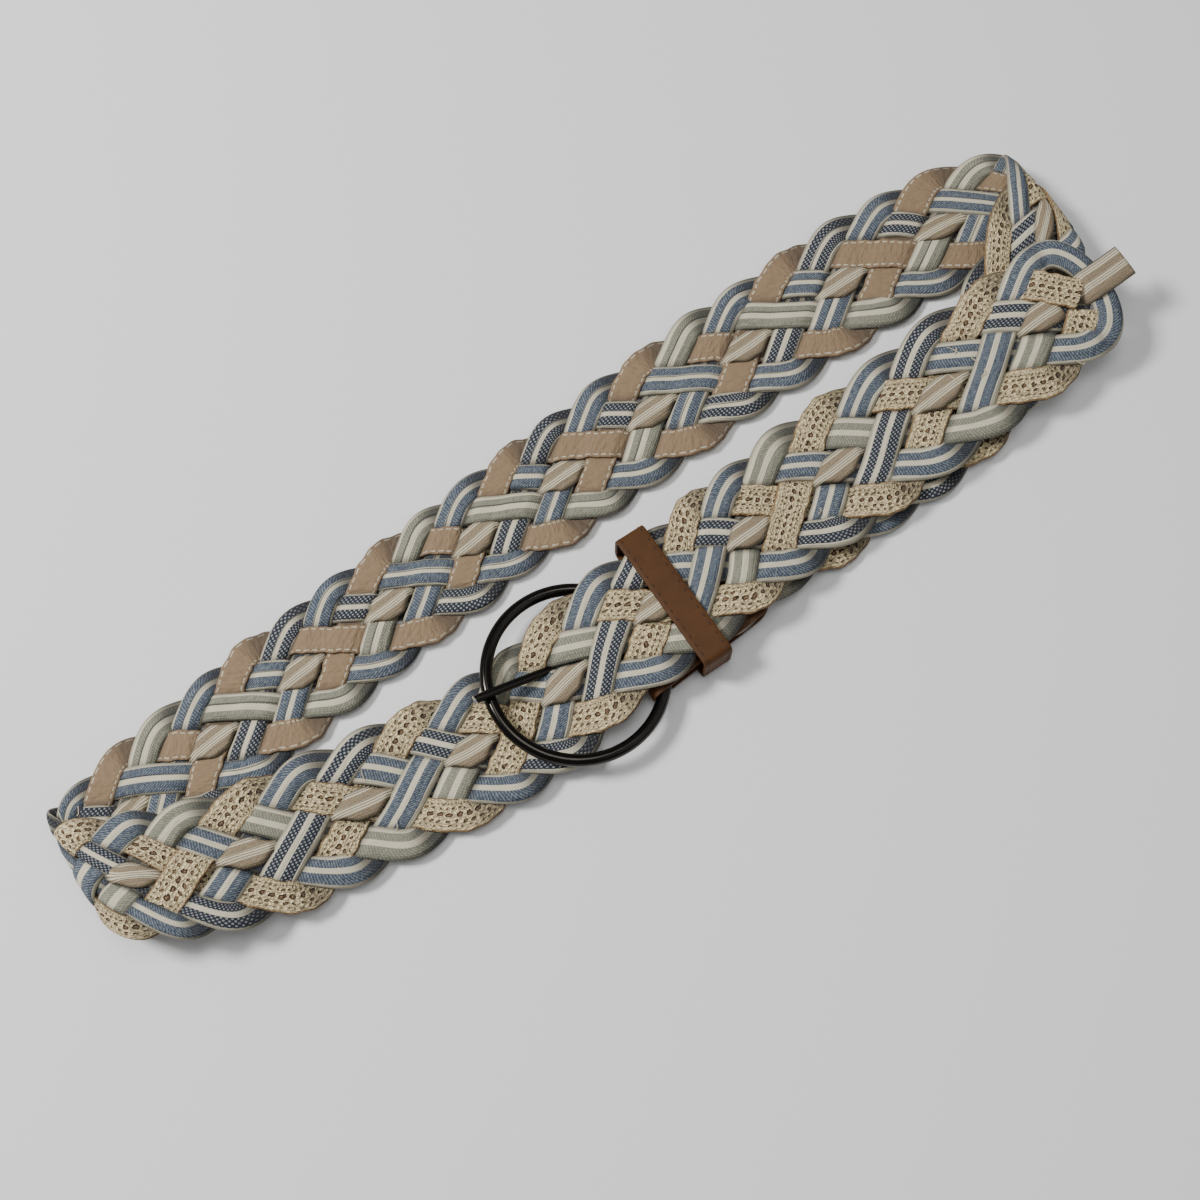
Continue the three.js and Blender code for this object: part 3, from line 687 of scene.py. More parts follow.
class BELT_OT_bend_prong(bpy.types.Operator):
    """Bend the prong and its eye"""
    bl_idname = "belt.bend_prong"
    bl_label = "Bend prong"

    def execute(self, context):
        buckle = settings("buckle")
        points = prong_points()
        rod = rod_along("buckle_prong_rod", points, buckle.prong_wire / 2, 6)
        bevel = rod.modifiers.new("rounded cut", "BEVEL")
        bevel.width = PRONG_CUT_EDGE
        bevel.segments = 3
        bevel.limit_method = "ANGLE"
        bevel.angle_limit = math.radians(60)
        bpy.ops.object.modifier_apply(modifier=bevel.name)
        centre, radius, tilt = ring_place()
        eye_centre = Vector((
            centre.x + radius * math.cos(tilt),
            points[0].y,
            centre.z - radius * math.sin(tilt),
        ))
        bpy.ops.object.select_all(action="DESELECT")
        bpy.ops.mesh.primitive_torus_add(
            major_segments=40, minor_segments=14, major_radius=buckle.ring_wire / 2 + EYE_ROOM,
            minor_radius=EYE_WALL, location=eye_centre, rotation=(math.pi / 2, 0, 0),
        )
        eye = context.object
        eye.scale = (1, 1, EYE_STRETCH)
        settle(eye)
        rod.select_set(True)
        context.view_layer.objects.active = rod
        bpy.ops.object.join()
        prong = context.object
        prong.name = prong.data.name = "buckle_prong_rod"
        settle(prong)
        bpy.ops.object.shade_smooth_by_angle(angle=math.radians(40))
        finish_piece(prong, "buckle_prong", prong_material(points[-1].x))
        return {"FINISHED"}


# Fold line and middle of the tab on the course, as shares of the loop's half length and the
# strap's width, and the tab's turn
TAB_FOLD_ALONG = -0.052
TAB_ACROSS = -0.715
TAB_TURN = math.radians(4.5)

# The prong's slot: reach past the prong's eye and room on each side
SLOT_REACH = 9 * MM
SLOT_ROOM = 1.8 * MM

# The ring pushes the fold out at the tab's sides: how far, and how deep into the tab it fades
FOLD_BULGE = 1.6 * MM
BULGE_REACH = 15 * MM


def tab_frame():
    """Fold line, middle and heights of the tab's plies, from its solid"""
    leather = settings("leather")
    low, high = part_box("leather_tab")
    shift = course_shift()
    strap = settings("strap")
    fold_x = TAB_FOLD_ALONG * strap.half_length + shift[0]
    middle = TAB_ACROSS * strap.strap_width + shift[1]
    return fold_x, middle, low.z + leather.thickness / 2, high.z - leather.thickness / 2


def tab_point(travel, across, place, length):
    """Point of the tab's middle surface and its distance from the fold, by travel from the lower end"""
    fold_x, middle, bottom, top = place
    radius = (top - bottom) / 2
    flat = length - radius
    bend = math.pi * radius
    if travel < flat:
        x, z = length - travel, bottom
    elif travel < flat + bend:
        turn = (travel - flat) / radius
        x, z = radius - radius * math.sin(turn), bottom + radius - radius * math.cos(turn)
    else:
        x, z = radius + travel - flat - bend, top
    side = across / (settings("leather").tab_width / 2)
    bulged = x - FOLD_BULGE * side**2 * (1 - smooth_step(x / BULGE_REACH))
    return Vector((
        fold_x + bulged * math.cos(TAB_TURN) - across * math.sin(TAB_TURN),
        middle + bulged * math.sin(TAB_TURN) + across * math.cos(TAB_TURN),
        z,
    )), x


def tab_half_width(x):
    """Half width of the tab at a distance from its fold, with its rounded end"""
    leather = settings("leather")
    half, corner = leather.tab_width / 2, leather.tab_corner
    into = x - (leather.tab_length - corner)
    if into <= 0:
        return half
    return half - corner + math.sqrt(max(corner**2 - into**2, 0))


class BELT_OT_fold_tab(bpy.types.Operator):
    """Fold the leather tab round the ring"""
    bl_idname = "belt.fold_tab"
    bl_label = "Fold tab"

    def execute(self, context):
        leather = settings("leather")
        place = tab_frame()
        length = leather.tab_length
        radius = (place[3] - place[2]) / 2
        total = 2 * (length - radius) + math.pi * radius
        rows, columns = 150, 48
        eye = prong_points()[0]
        mesh = bmesh.new()
        grid = []
        for row in range(rows + 1):
            travel = total * row / rows
            _, x = tab_point(travel, 0, place, length)
            half = tab_half_width(x)
            grid.append([
                mesh.verts.new(tab_point(travel, half * (2 * column / columns - 1), place, length)[0])
                for column in range(columns + 1)
            ])
        slot_end = eye.x + SLOT_REACH
        slot_half = settings("buckle").prong_wire / 2 + SLOT_ROOM
        for row in range(rows):
            for column in range(columns):
                near, far = grid[row], grid[row + 1]
                corners = (near[column], far[column], far[column + 1], near[column + 1])
                middle = sum((corner.co for corner in corners), Vector()) / 4
                if middle.x < slot_end and abs(middle.y - eye.y) < slot_half:
                    continue
                mesh.faces.new(corners)
        bmesh.ops.delete(mesh, geom=[v for v in mesh.verts if not v.link_faces], context="VERTS")
        data = bpy.data.meshes.new("leather_tab_folded")
        mesh.to_mesh(data)
        mesh.free()
        tab = bpy.data.objects.new("leather_tab_folded", data)
        context.scene.collection.objects.link(tab)
        select_only(tab)
        thicken(tab, leather.thickness)
        finish_piece(tab, "leather_tab", leather_material())
        return {"FINISHED"}


def thicken(obj, thickness):
    """Gives a sheet its thickness on both sides and softens its edges"""
    select_only(obj)
    wall = obj.modifiers.new("wall", "SOLIDIFY")
    wall.thickness = thickness
    wall.offset = 0
    bpy.ops.object.modifier_apply(modifier=wall.name)
    bevel = obj.modifiers.new("soft edge", "BEVEL")
    bevel.width = thickness * 0.22
    bevel.segments = 2
    bevel.limit_method = "ANGLE"
    bevel.angle_limit = math.radians(50)
    bpy.ops.object.modifier_apply(modifier=bevel.name)
    face_outwards(obj)
    bpy.ops.object.shade_smooth_by_angle(angle=math.radians(45))


# Corner radius of the keeper's middle line, and degrees from point to point round a corner
KEEPER_CORNER = 2.2 * MM
CORNER_TURN = 15


def keeper_path():
    """Middle line of the keeper's loop in Y and Z, closed"""
    leather = settings("leather")
    low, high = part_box("keeper_loop")
    wall = leather.thickness / 2
    y0, y1, z0, z1 = low.y + wall, high.y - wall, low.z + wall, high.z - wall
    corner = KEEPER_CORNER
    points = []
    for centre_y, centre_z, start in (
        (y1 - corner, z0 + corner, -90), (y1 - corner, z1 - corner, 0),
        (y0 + corner, z1 - corner, 90), (y0 + corner, z0 + corner, 180),
    ):
        for step in range(90 // CORNER_TURN + 1):
            turn = math.radians(start + CORNER_TURN * step)
            points.append((centre_y + corner * math.cos(turn), centre_z + corner * math.sin(turn)))
    full = []
    for (ya, za), (yb, zb) in zip(points, points[1:] + points[:1]):
        parts = max(1, round(math.hypot(yb - ya, zb - za) / (2 * MM)))
        for part in range(parts):
            share = part / parts
            full.append((ya + (yb - ya) * share, za + (zb - za) * share))
    return full


class BELT_OT_wrap_keeper(bpy.types.Operator):
    """Wrap the keeper round the tab and the tail"""
    bl_idname = "belt.wrap_keeper"
    bl_label = "Wrap keeper"

    def execute(self, context):
        low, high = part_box("keeper_loop")
        path = keeper_path()
        columns = 8
        mesh = bmesh.new()
        grid = []
        for y, z in path:
            grid.append([
                mesh.verts.new((low.x + (high.x - low.x) * column / columns, y, z))
                for column in range(columns + 1)
            ])
        for row in range(len(grid)):
            following = grid[(row + 1) % len(grid)]
            for column in range(columns):
                beside = column + 1
                mesh.faces.new((grid[row][column], following[column], following[beside], grid[row][beside]))
        data = bpy.data.meshes.new("keeper_loop_band")
        mesh.to_mesh(data)
        mesh.free()
        keeper = bpy.data.objects.new("keeper_loop_band", data)
        context.scene.collection.objects.link(keeper)
        select_only(keeper)
        thicken(keeper, settings("leather").thickness)
        finish_piece(keeper, "keeper_loop", leather_material())
        return {"FINISHED"}


# Stitches: share of the pitch that shows, thread's radius, distance from the edge, first one of
# the tab from its fold, and rise over the leather
STITCH_SHOWS = 0.68
STITCH_THREAD = 0.27 * MM
STITCH_INSET = 1.7 * MM
STITCH_START = 24 * MM
STITCH_RISE = 0.02 * MM


def sew(name, places, material):
    """Small rounded stitches, one for each centre, direction and outward side"""
    leather = settings("leather")
    size = (leather.stitch_pitch * STITCH_SHOWS / 2, STITCH_THREAD, STITCH_THREAD * 0.8, 1)
    bpy.ops.object.select_all(action="DESELECT")
    bpy.ops.mesh.primitive_uv_sphere_add(segments=8, ring_count=6, radius=1)
    pattern = bpy.context.object
    stitches = []
    for centre, direction, outward in places:
        stitch = pattern.copy()
        stitch.data = pattern.data.copy()
        side = direction.cross(outward).normalized()
        turn = Matrix((direction.normalized(), side, outward.normalized())).transposed().to_4x4()
        stitch.matrix_world = Matrix.Translation(centre) @ turn @ Matrix.Diagonal(size)
        bpy.context.scene.collection.objects.link(stitch)
        stitches.append(stitch)
    bpy.data.objects.remove(pattern)
    bpy.ops.object.select_all(action="DESELECT")
    for stitch in stitches:
        stitch.select_set(True)
    bpy.context.view_layer.objects.active = stitches[0]
    bpy.ops.object.join()
    row = bpy.context.object
    row.name = row.data.name = name
    settle(row)
    face_outwards(row)
    bpy.ops.object.shade_smooth()
    finish_piece(row, None, material)


def tab_seam(side):
    """Line of the stitches along one side of the tab and round its corner: distances from the
    fold and across"""
    leather = settings("leather")
    straight = leather.tab_length - leather.tab_corner
    half = leather.tab_width / 2
    inner = leather.tab_corner - STITCH_INSET
    line = []
    x = STITCH_START
    while x < straight:
        line.append((x, side * (half - STITCH_INSET)))
        x += leather.stitch_pitch / 3
    for degrees in range(0, 91, 5):
        turn = math.radians(degrees)
        line.append((
            straight + inner * math.sin(turn),
            side * (half - leather.tab_corner + inner * math.cos(turn)),
        ))
    return line


class BELT_OT_sew_stitches(bpy.types.Operator):
    """Sew the keeper's and the tab's edges"""
    bl_idname = "belt.sew_stitches"
    bl_label = "Sew stitches"

    def execute(self, context):
        leather = settings("leather")
        thread = thread_material()
        low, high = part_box("keeper_loop")
        lifted = leather.thickness / 2 + STITCH_RISE
        path = [Vector((0, y, z)) for y, z in keeper_path()]
        places = []
        travel = 0
        for before, after in zip(path, path[1:] + path[:1]):
            travel += (after - before).length
            if travel < leather.stitch_pitch:
                continue
            travel = 0
            direction = (after - before).normalized()
            outward = direction.cross(Vector((1, 0, 0)))
            inner = (low + high) / 2
            if outward.dot(after - Vector((0, inner.y, inner.z))) < 0:
                outward = -outward
            for x in (low.x + STITCH_INSET, high.x - STITCH_INSET):
                places.append((Vector((x, after.y, after.z)) + outward * lifted, direction, outward))
        sew("keeper_stitches", places, thread)

        places = []
        place = tab_frame()
        radius = (place[3] - place[2]) / 2
        end = leather.tab_length - radius
        total = 2 * end + math.pi * radius
        for high_ply in (False, True):
            outward = Vector((0, 0, 1 if high_ply else -1))
            gone = 0
            for side in (-1, 1):
                previous = None
                for x, across in tab_seam(side):
                    from_end = leather.tab_length - x
                    travel = total - from_end if high_ply else from_end
                    point = tab_point(travel, across, place, leather.tab_length)[0]
                    if previous is not None:
                        step = point - previous
                        gone += step.length
                        if gone >= leather.stitch_pitch:
                            gone = 0
                            places.append((point + outward * lifted, step.normalized(), outward))
                    previous = point
        sew("tab_stitches", places, thread)
        return {"FINISHED"}


# Loose threads: strand order, crossing, start across the ribbon as a share of its width, reach
# sideways in millimetres. Those of strand 5 come out of its worn middle. A thread's ribbon is
# taken as a share of the strap's width.
FRAYS = (
    (1, 8.2, 0.8, 5.0), (1, 8.5, 0.8, 4.0), (4, 13.4, -0.8, -5.5), (4, 13.7, -0.8, -4.0),
    (1, 13.2, 0.8, 4.5), (1, 22.3, -0.8, -5.0), (4, 25.6, 0.8, 5.0), (4, 25.3, 0.8, 3.5),
    (1, 26.4, 0.8, 4.5), (4, 26.9, -0.8, -4.5),
    (5, 25.60, 0.2, 4.0), (5, 25.68, -0.2, -4.5), (5, 25.52, 0.1, 3.5),
)


FRAY_THREAD = 0.16 * MM
FRAY_BAND = 1 / 9


class BELT_OT_fray_threads(bpy.types.Operator):
    """Loosen a few threads along the strands"""
    bl_idname = "belt.fray_threads"
    bl_label = "Fray threads"

    def execute(self, context):
        strap = settings("strap")
        threads = []
        for number, (order, crossed, start, reach) in enumerate(FRAYS):
            step = np.linspace(0, 1, 5)
            crossing = np.full(5, crossed) + step * 0.12 * math.sin(number * 2.3)
            band = strap.strap_width * FRAY_BAND
            sideways = (strap.strap_width - 2 * band) / 2 * wave(crossing - order)
            sideways += (band * start + step * reach * MM) * (0.9 + 0.1 * np.cos(step * 5 + number))
            rise = strap.level_step * 0.9 + 1.2 * MM + np.sin(step * 3 + number) * 0.5 * MM
            points = [Vector(point) for point in strap_points(crossing, sideways, rise)]
            threads.append(rod_along("loose_thread", points, FRAY_THREAD, 1))
        bpy.ops.object.select_all(action="DESELECT")
        for thread in threads:
            thread.select_set(True)
        context.view_layer.objects.active = threads[0]
        bpy.ops.object.join()
        frays = context.object
        frays.name = frays.data.name = "frayed_threads"
        settle(frays)
        bpy.ops.object.shade_smooth()
        finish_piece(frays, None, fray_material())
        return {"FINISHED"}


class Finish:
    """A material's node tree, built step by step"""

    def __init__(self, name, roughness, metallic=0.0):
        self.material = bpy.data.materials.new(name)
        self.material.use_nodes = True
        self.tree = self.material.node_tree
        self.shader = self.tree.nodes["Principled BSDF"]
        self.shader.inputs["Roughness"].default_value = roughness
        self.shader.inputs["Metallic"].default_value = metallic

    def node(self, kind, inputs=None, **options):
        """New node with its options, and its inputs linked or set"""
        made = self.tree.nodes.new(kind)
        for key, value in options.items():
            setattr(made, key, value)
        for key, value in (inputs or {}).items():
            if isinstance(value, bpy.types.NodeSocket):
                self.tree.links.new(value, made.inputs[key])
            else:
                made.inputs[key].default_value = value
        return made

    def calc(self, operation, first, second=0.0):
        return self.node("ShaderNodeMath", {0: first, 1: second}, operation=operation).outputs[0]

    def plus(self, first, second):
        return self.calc("ADD", first, second)

    def minus(self, first, second):
        return self.calc("SUBTRACT", first, second)

    def times(self, first, second):
        return self.calc("MULTIPLY", first, second)

    def size(self, value):
        return self.calc("ABSOLUTE", value)

    def ripple(self, value, pitch):
        """Sine wave of a pitch"""
        return self.calc("SINE", self.times(value, math.tau / pitch))

    def ease(self, value, start, end):
        """0 before start and 1 past end, eased between"""
        node = self.node(
            "ShaderNodeMapRange", {"Value": value, "From Min": start, "From Max": end},
            interpolation_type="SMOOTHSTEP",
        )
        return node.outputs[0]

    def mix(self, share, first, second, blend="MIX"):
        node = self.node("ShaderNodeMix", {0: share}, data_type="RGBA", blend_type=blend)
        for key, colour in ((6, first), (7, second)):
            if isinstance(colour, bpy.types.NodeSocket):
                self.tree.links.new(colour, node.inputs[key])
            else:
                node.inputs[key].default_value = (*tuple(colour)[:3], 1)
        return node.outputs[2]

    def vector(self, x, y, z=0.0):
        return self.node("ShaderNodeCombineXYZ", {0: x, 1: y, 2: z}).outputs[0]

    def noise(self, place, scale, detail=2.0, roughness=0.5):
        inputs = {"Vector": place, "Scale": scale, "Detail": detail, "Roughness": roughness}
        return self.node("ShaderNodeTexNoise", inputs).outputs[0]

    def cells(self, place, scale, randomness):
        """Distance from the middles of scattered cells"""
        node = self.node(
            "ShaderNodeTexVoronoi", {"Vector": place, "Scale": scale, "Randomness": randomness},
            voronoi_dimensions="2D", feature="F1",
        )
        return node.outputs["Distance"]

    def band_place(self):
        """Distance across and along a band in millimetres"""
        place = self.node("ShaderNodeUVMap", uv_map="band").outputs[0]
        split = self.node("ShaderNodeSeparateXYZ", {0: place})
        return split.outputs[0], split.outputs[1]

    def attribute(self, name):
        """A value that the mesh carries"""
        return self.node("ShaderNodeAttribute", attribute_name=name).outputs["Fac"]

    def object_place(self):
        return self.node("ShaderNodeTexCoord").outputs["Object"]

    def colour(self, colour):
        """Gives the shader its colour"""
        self.tree.links.new(colour, self.shader.inputs["Base Color"])

    def bump(self, height, distance, strength=1.0):
        node = self.node("ShaderNodeBump", {"Height": height, "Distance": distance, "Strength": strength})
        self.tree.links.new(node.outputs[0], self.shader.inputs["Normal"])


def shade(colour, factor):
    """A colour made darker or lighter"""
    return tuple(min(1.0, part * factor) for part in colour)


# Woven ribbons, in millimetres: pitches of the weave, twill and dots, wander and soft edge of the
# stripes. In shares of the bump's distance: drop of the ribbon's edges, rise of its wrinkles.
WEAVE_PITCH = 0.9
WEAVE_BUMP = 0.12 * MM
TWILL_PITCH = 1.15
DOT_PITCH = 1.8
STRIPE_WANDER = 2.4
STRIPE_SOFT = 0.12
CROWN_DROP = 9.0
WRINKLE_RISE = 8.0


def stripes(finish, across, along, seed, middles, half, wander):
    """Cream stripes along a band, which wander a little across it"""
    slow = finish.noise(finish.vector(seed * 3.7, finish.times(along, 0.02)), 1.0, 1.0)
    drift = finish.times(finish.minus(slow, 0.5), wander)
    total = None
    for middle in middles:
        gap = finish.size(finish.minus(finish.minus(across, middle), drift))
        mask = finish.minus(1.0, finish.ease(gap, half - STRIPE_SOFT, half + STRIPE_SOFT))
        total = mask if total is None else finish.calc("MAXIMUM", total, mask)
    return total


def cloth_height(finish, across, along, thread):
    """Weave and soft long wrinkles, for the bump"""
    weft = finish.ripple(along, thread)
    warp = finish.ripple(across, thread)
    weave = finish.times(finish.plus(weft, warp), 0.22)
    wrinkle = finish.noise(finish.vector(finish.times(across, 0.42), finish.times(along, 0.07)), 1.0, 3.0)
    rim = finish.calc("POWER", finish.size(finish.attribute("rim")), 3.0)
    crown = finish.times(rim, -CROWN_DROP)
    return finish.plus(finish.plus(weave, crown), finish.times(wrinkle, WRINKLE_RISE))


def crease(finish, across, face, colour, middle):
    """Dark seam down the back of a folded ribbon"""
    gap = finish.size(finish.minus(across, middle))
    line = finish.minus(1.0, finish.ease(gap, 0.1, 0.45))
    back = finish.minus(1.0, finish.ease(face, -0.3, 0.1))
    return finish.mix(finish.times(finish.times(line, back), 0.75), colour, (0.02, 0.02, 0.025))


def painted_hollow_shade(finish, colour, depth=0.8):
    """Painted shade where a band dips under its neighbours, seen from either face"""
    outside = finish.ease(finish.attribute("face"), -0.1, 0.1)
    side = finish.minus(finish.times(outside, 2.0), 1.0)
    above = finish.times(finish.attribute("level"), side)
    dip_shade = finish.minus(1.0, finish.ease(above, -0.45, 0.42))
    # The near-black it mixes in is painted shade
    return finish.mix(finish.times(dip_shade, depth), colour, (0.012, 0.012, 0.014))


def painted_rim_shade(finish, colour):
    """A ribbon's turned-under edges, a little darker with painted shade"""
    rim = finish.size(finish.attribute("rim"))
    return finish.mix(finish.times(finish.ease(rim, 0.72, 1.0), 0.5), colour, (0.03, 0.03, 0.03))


def cloth_material(node, seed, ground, fleck, fleck_share, middles, half, dots):
    """A woven ribbon with cream stripes"""
    colours = settings("colours")
    finish = Finish(node + "_cloth", 0.9)
    across, along = finish.band_place()
    if dots:
        first = finish.ripple(across, DOT_PITCH)
        second = finish.ripple(along, DOT_PITCH)
        speck = finish.ease(finish.times(first, second), 0.18, 0.5)
        patchy = finish.noise(finish.vector(across, along), 1.6, 2.0)
        speck = finish.times(speck, finish.ease(patchy, 0.25, 0.5))
    else:
        drawn = finish.vector(finish.times(across, 0.55), finish.times(along, 2.0))
        streak = finish.noise(drawn, 1.0, 3.0, 0.65)
        twill = finish.ripple(finish.plus(finish.times(across, 0.8), along), TWILL_PITCH)
        speck = finish.ease(finish.plus(streak, finish.times(twill, 0.1)), 0.43, 0.64)
    slow = finish.noise(finish.vector(across, finish.times(along, 0.35)), 0.35, 2.0)
    base = finish.mix(finish.times(slow, 0.8), shade(ground, 0.8), shade(ground, 1.2))
    base = finish.mix(finish.times(speck, fleck_share), base, fleck)
    stripe = stripes(finish, across, along, seed, middles, half, STRIPE_WANDER)
    thread = finish.noise(finish.vector(finish.times(across, 3.0), finish.times(along, 0.6)), 1.0, 2.0)
    cream = finish.mix(thread, shade(colours.cream, 0.78), shade(colours.cream, 1.12))
    base = finish.mix(stripe, base, cream)
    base = crease(finish, across, finish.attribute("face"), base, 1.2)
    # Painted shade along the rims and where the band dips under others
    finish.colour(painted_hollow_shade(finish, painted_rim_shade(finish, base)))
    finish.bump(cloth_height(finish, across, along, WEAVE_PITCH), WEAVE_BUMP)
    return finish.material


def blue_material(node, seed):
    """Chambray: blue with pale flecks and three stripes"""
    colours = settings("colours")
    return cloth_material(node, seed, colours.blue, (0.27, 0.295, 0.30), 0.62, (-6.1, 0.3, 6.0), 1.12, False)


def navy_material(node, seed):
    """Navy with rows of white dots and three stripes"""
    colours = settings("colours")
    return cloth_material(node, seed, colours.navy, (0.34, 0.345, 0.33), 0.85, (-6.1, 0.2, 6.0), 1.12, True)


def green_material(node, seed):
    """Grey-green heather with two stripes"""
    colours = settings("colours")
    return cloth_material(node, seed, colours.green, (0.38, 0.375, 0.29), 0.6, (-0.4, 5.2), 1.2, False)


def taupe_material():
    """The straight ribbon: heather with groups of fine cream threads"""
    colours = settings("colours")
    finish = Finish("taupe_core_cloth", 0.9)
    across, along = finish.band_place()
    grain = finish.noise(finish.vector(across, finish.times(along, 2.2)), 1.3, 3.0, 0.65)
    base = finish.mix(finish.ease(grain, 0.35, 0.65), shade(colours.taupe, 0.72), shade(colours.taupe, 1.3))
    group = stripes(finish, across, along, 4, (-0.4, 5.2), 1.5, 1.6)
    threads = finish.ripple(across, 0.95)
    lines = finish.times(group, finish.ease(threads, -0.5, 0.2))
    # Painted shade along the rims and where the band dips under others
    finish.colour(painted_hollow_shade(finish, painted_rim_shade(finish, finish.mix(lines, base, colours.cream))))
    finish.bump(cloth_height(finish, across, along, WEAVE_PITCH), WEAVE_BUMP)
    return finish.material


# Rows of holes in the lace: place across, pitch along, half width and half length in
# millimetres, and shift along as a share of the pitch
EYELETS = (
    (0.0, 3.7, 0.95, 1.25, 0.0),
    (2.55, 2.7, 0.6, 0.72, 0.3),
    (-2.55, 2.7, 0.6, 0.72, 0.75),
    (4.3, 1.9, 0.34, 0.42, 0.1),
    (-4.3, 1.9, 0.34, 0.42, 0.6),
)


def eyelets(finish, across, along, row, pitch, wide, long, shift):
    """Distance from the holes of one row, 1 at their rims"""
    step = finish.calc("FRACT", finish.plus(finish.calc("DIVIDE", along, pitch), shift))
    lengthways = finish.times(finish.minus(step, 0.5), pitch / long)
    sideways = finish.calc("DIVIDE", finish.minus(across, row), wide)
    squares = finish.plus(finish.times(lengthways, lengthways), finish.times(sideways, sideways))
    return finish.calc("SQRT", squares)


def lace_material(node, seed):
    """Crochet lace on the front and stitched tan leather on the back"""
    colours = settings("colours")
    finish = Finish(node + "_lace", 0.85)
    across, along = finish.band_place()
    rim = finish.size(finish.attribute("rim"))
    face = finish.attribute("face")

    wobble = finish.minus(finish.noise(finish.vector(across, along, seed * 5.0), 0.4, 2.0), 0.5)
    drawn = finish.plus(across, finish.times(wobble, 2.2))
    pulled = finish.plus(along, finish.times(wobble, 3.0))
    spot = None
    for row, pitch, wide, long, shift in EYELETS:
        ring = eyelets(finish, drawn, pulled, row, pitch, wide, long, shift)
        spot = ring if spot is None else finish.calc("MINIMUM", spot, ring)
    uneven = finish.times(finish.noise(finish.vector(across, along, seed * 2.0), 0.6, 1.0), 0.9)
    spot = finish.plus(spot, finish.minus(uneven, 0.4))
    hole = finish.minus(1.0, finish.ease(spot, 0.75, 1.15))
    hole = finish.times(hole, finish.minus(1.0, finish.ease(rim, 0.76, 0.88)))
    # Thread tone over the knots and cords: partly the thread's own unevenness, partly painted shade in the
    # grooves between them
    knots = finish.cells(finish.vector(finish.plus(across, wobble), finish.times(along, 0.6)), 1.15, 0.85)
    cords = finish.calc("SINE", finish.times(spot, 4.2))
    knot_height_and_shade = finish.minus(1.0, finish.ease(knots, 0.15, 0.62))
    knot_height_and_shade = finish.plus(finish.times(knot_height_and_shade, 0.75), finish.times(cords, -0.22))
    thread = finish.mix(finish.ease(knot_height_and_shade, -0.1, 0.75), shade(colours.lace, 0.58), shade(colours.lace, 1.28))
    # Through the holes: the tan backing at their middles, turning dark towards their rims with painted shade
    floor = finish.mix(finish.ease(spot, 0.25, 0.8), (0.215, 0.13, 0.065), (0.04, 0.02, 0.009))
    front = finish.mix(finish.ease(hole, 0.1, 0.6), thread, floor)
    front = finish.mix(finish.times(finish.ease(rim, 0.88, 0.95), 0.85), front, (0.20, 0.10, 0.032))

    row = finish.size(finish.minus(rim, 0.80))
    line = finish.minus(1.0, finish.ease(row, 0.035, 0.06))
    dash = finish.ease(finish.ripple(along, 3.1), -0.55, -0.35)
    stitch = finish.times(line, dash)
    mottle = finish.noise(finish.vector(across, along), 0.5, 3.0)
    hide = finish.mix(mottle, shade(colours.tan, 0.85), shade(colours.tan, 1.15))
    back = finish.mix(stitch, hide, shade(colours.cream, 0.8))
    back = finish.mix(finish.times(finish.ease(rim, 0.95, 1.0), 0.7), back, (0.16, 0.09, 0.05))

    outside = finish.ease(face, -0.1, 0.1)
    # Painted shade where the band dips under others
    finish.colour(painted_hollow_shade(finish, finish.mix(outside, back, front), 0.6))
    lace_height = finish.plus(finish.times(hole, -4.0), finish.times(knot_height_and_shade, 2.5))
    creased = finish.vector(finish.times(across, 0.25), finish.times(along, 0.55), seed)
    folds = finish.noise(creased, 1.0, 3.0)
    hide_height = finish.plus(finish.plus(stitch, finish.times(line, -0.6)), finish.times(folds, 5.0))
    inside = finish.minus(1.0, outside)
    height = finish.plus(finish.times(lace_height, outside), finish.times(hide_height, inside))
    finish.bump(height, 0.2 * MM)
    return finish.material


def leather_material():
    """Brown leather with a fine grain"""
    colours = settings("colours")
    finish = Finish("brown_leather_hide", 0.6)
    finish.shader.inputs["Specular IOR Level"].default_value = 0.25
    place = finish.object_place()
    mottle = finish.noise(place, 160.0, 4.0, 0.6)
    base = finish.mix(mottle, shade(colours.brown, 0.7), shade(colours.brown, 1.35))
    finish.colour(base)
    grain = finish.noise(place, 1500.0, 3.0, 0.6)
    finish.bump(grain, 0.08 * MM)
    return finish.material


def fray_material():
    """Loose cotton, cream to ecru"""
    finish = Finish("loose_cotton", 0.9)
    speck = finish.noise(finish.object_place(), 2500.0, 2.0)
    finish.colour(finish.mix(speck, shade(settings("colours").lace, 0.8), settings("colours").cream))
    return finish.material


def thread_material():
    """Dark brown sewing thread"""
    finish = Finish("dark_brown_thread", 0.8)
    speck = finish.noise(finish.object_place(), 3000.0, 2.0)
    finish.colour(finish.mix(speck, (0.022, 0.009, 0.003), (0.045, 0.018, 0.006)))
    return finish.material


def metal_material():
    """Gunmetal with light wear"""
    colours = settings("colours")
    finish = Finish("gunmetal_ring", 0.17, 1.0)
    wear = finish.noise(finish.object_place(), 300.0, 4.0, 0.6)
    finish.colour(finish.mix(wear, shade(colours.metal, 0.75), shade(colours.metal, 1.3)))
    finish.bump(wear, 0.01 * MM)
    return finish.material


def prong_material(tip_x):
    """Gunmetal, worn bright at the cut tip"""
    colours = settings("colours")
    finish = Finish("gunmetal_prong", 0.25, 1.0)
    place = finish.object_place()
    x = finish.node("ShaderNodeSeparateXYZ", {0: place}).outputs[0]
    bright = finish.minus(1.0, finish.ease(x, tip_x + 0.1 * MM, tip_x + 0.7 * MM))
    wear = finish.noise(place, 300.0, 4.0, 0.6)
    dark = finish.mix(wear, shade(colours.metal, 0.75), shade(colours.metal, 1.3))
    finish.colour(finish.mix(bright, dark, (0.75, 0.74, 0.70)))
    return finish.material


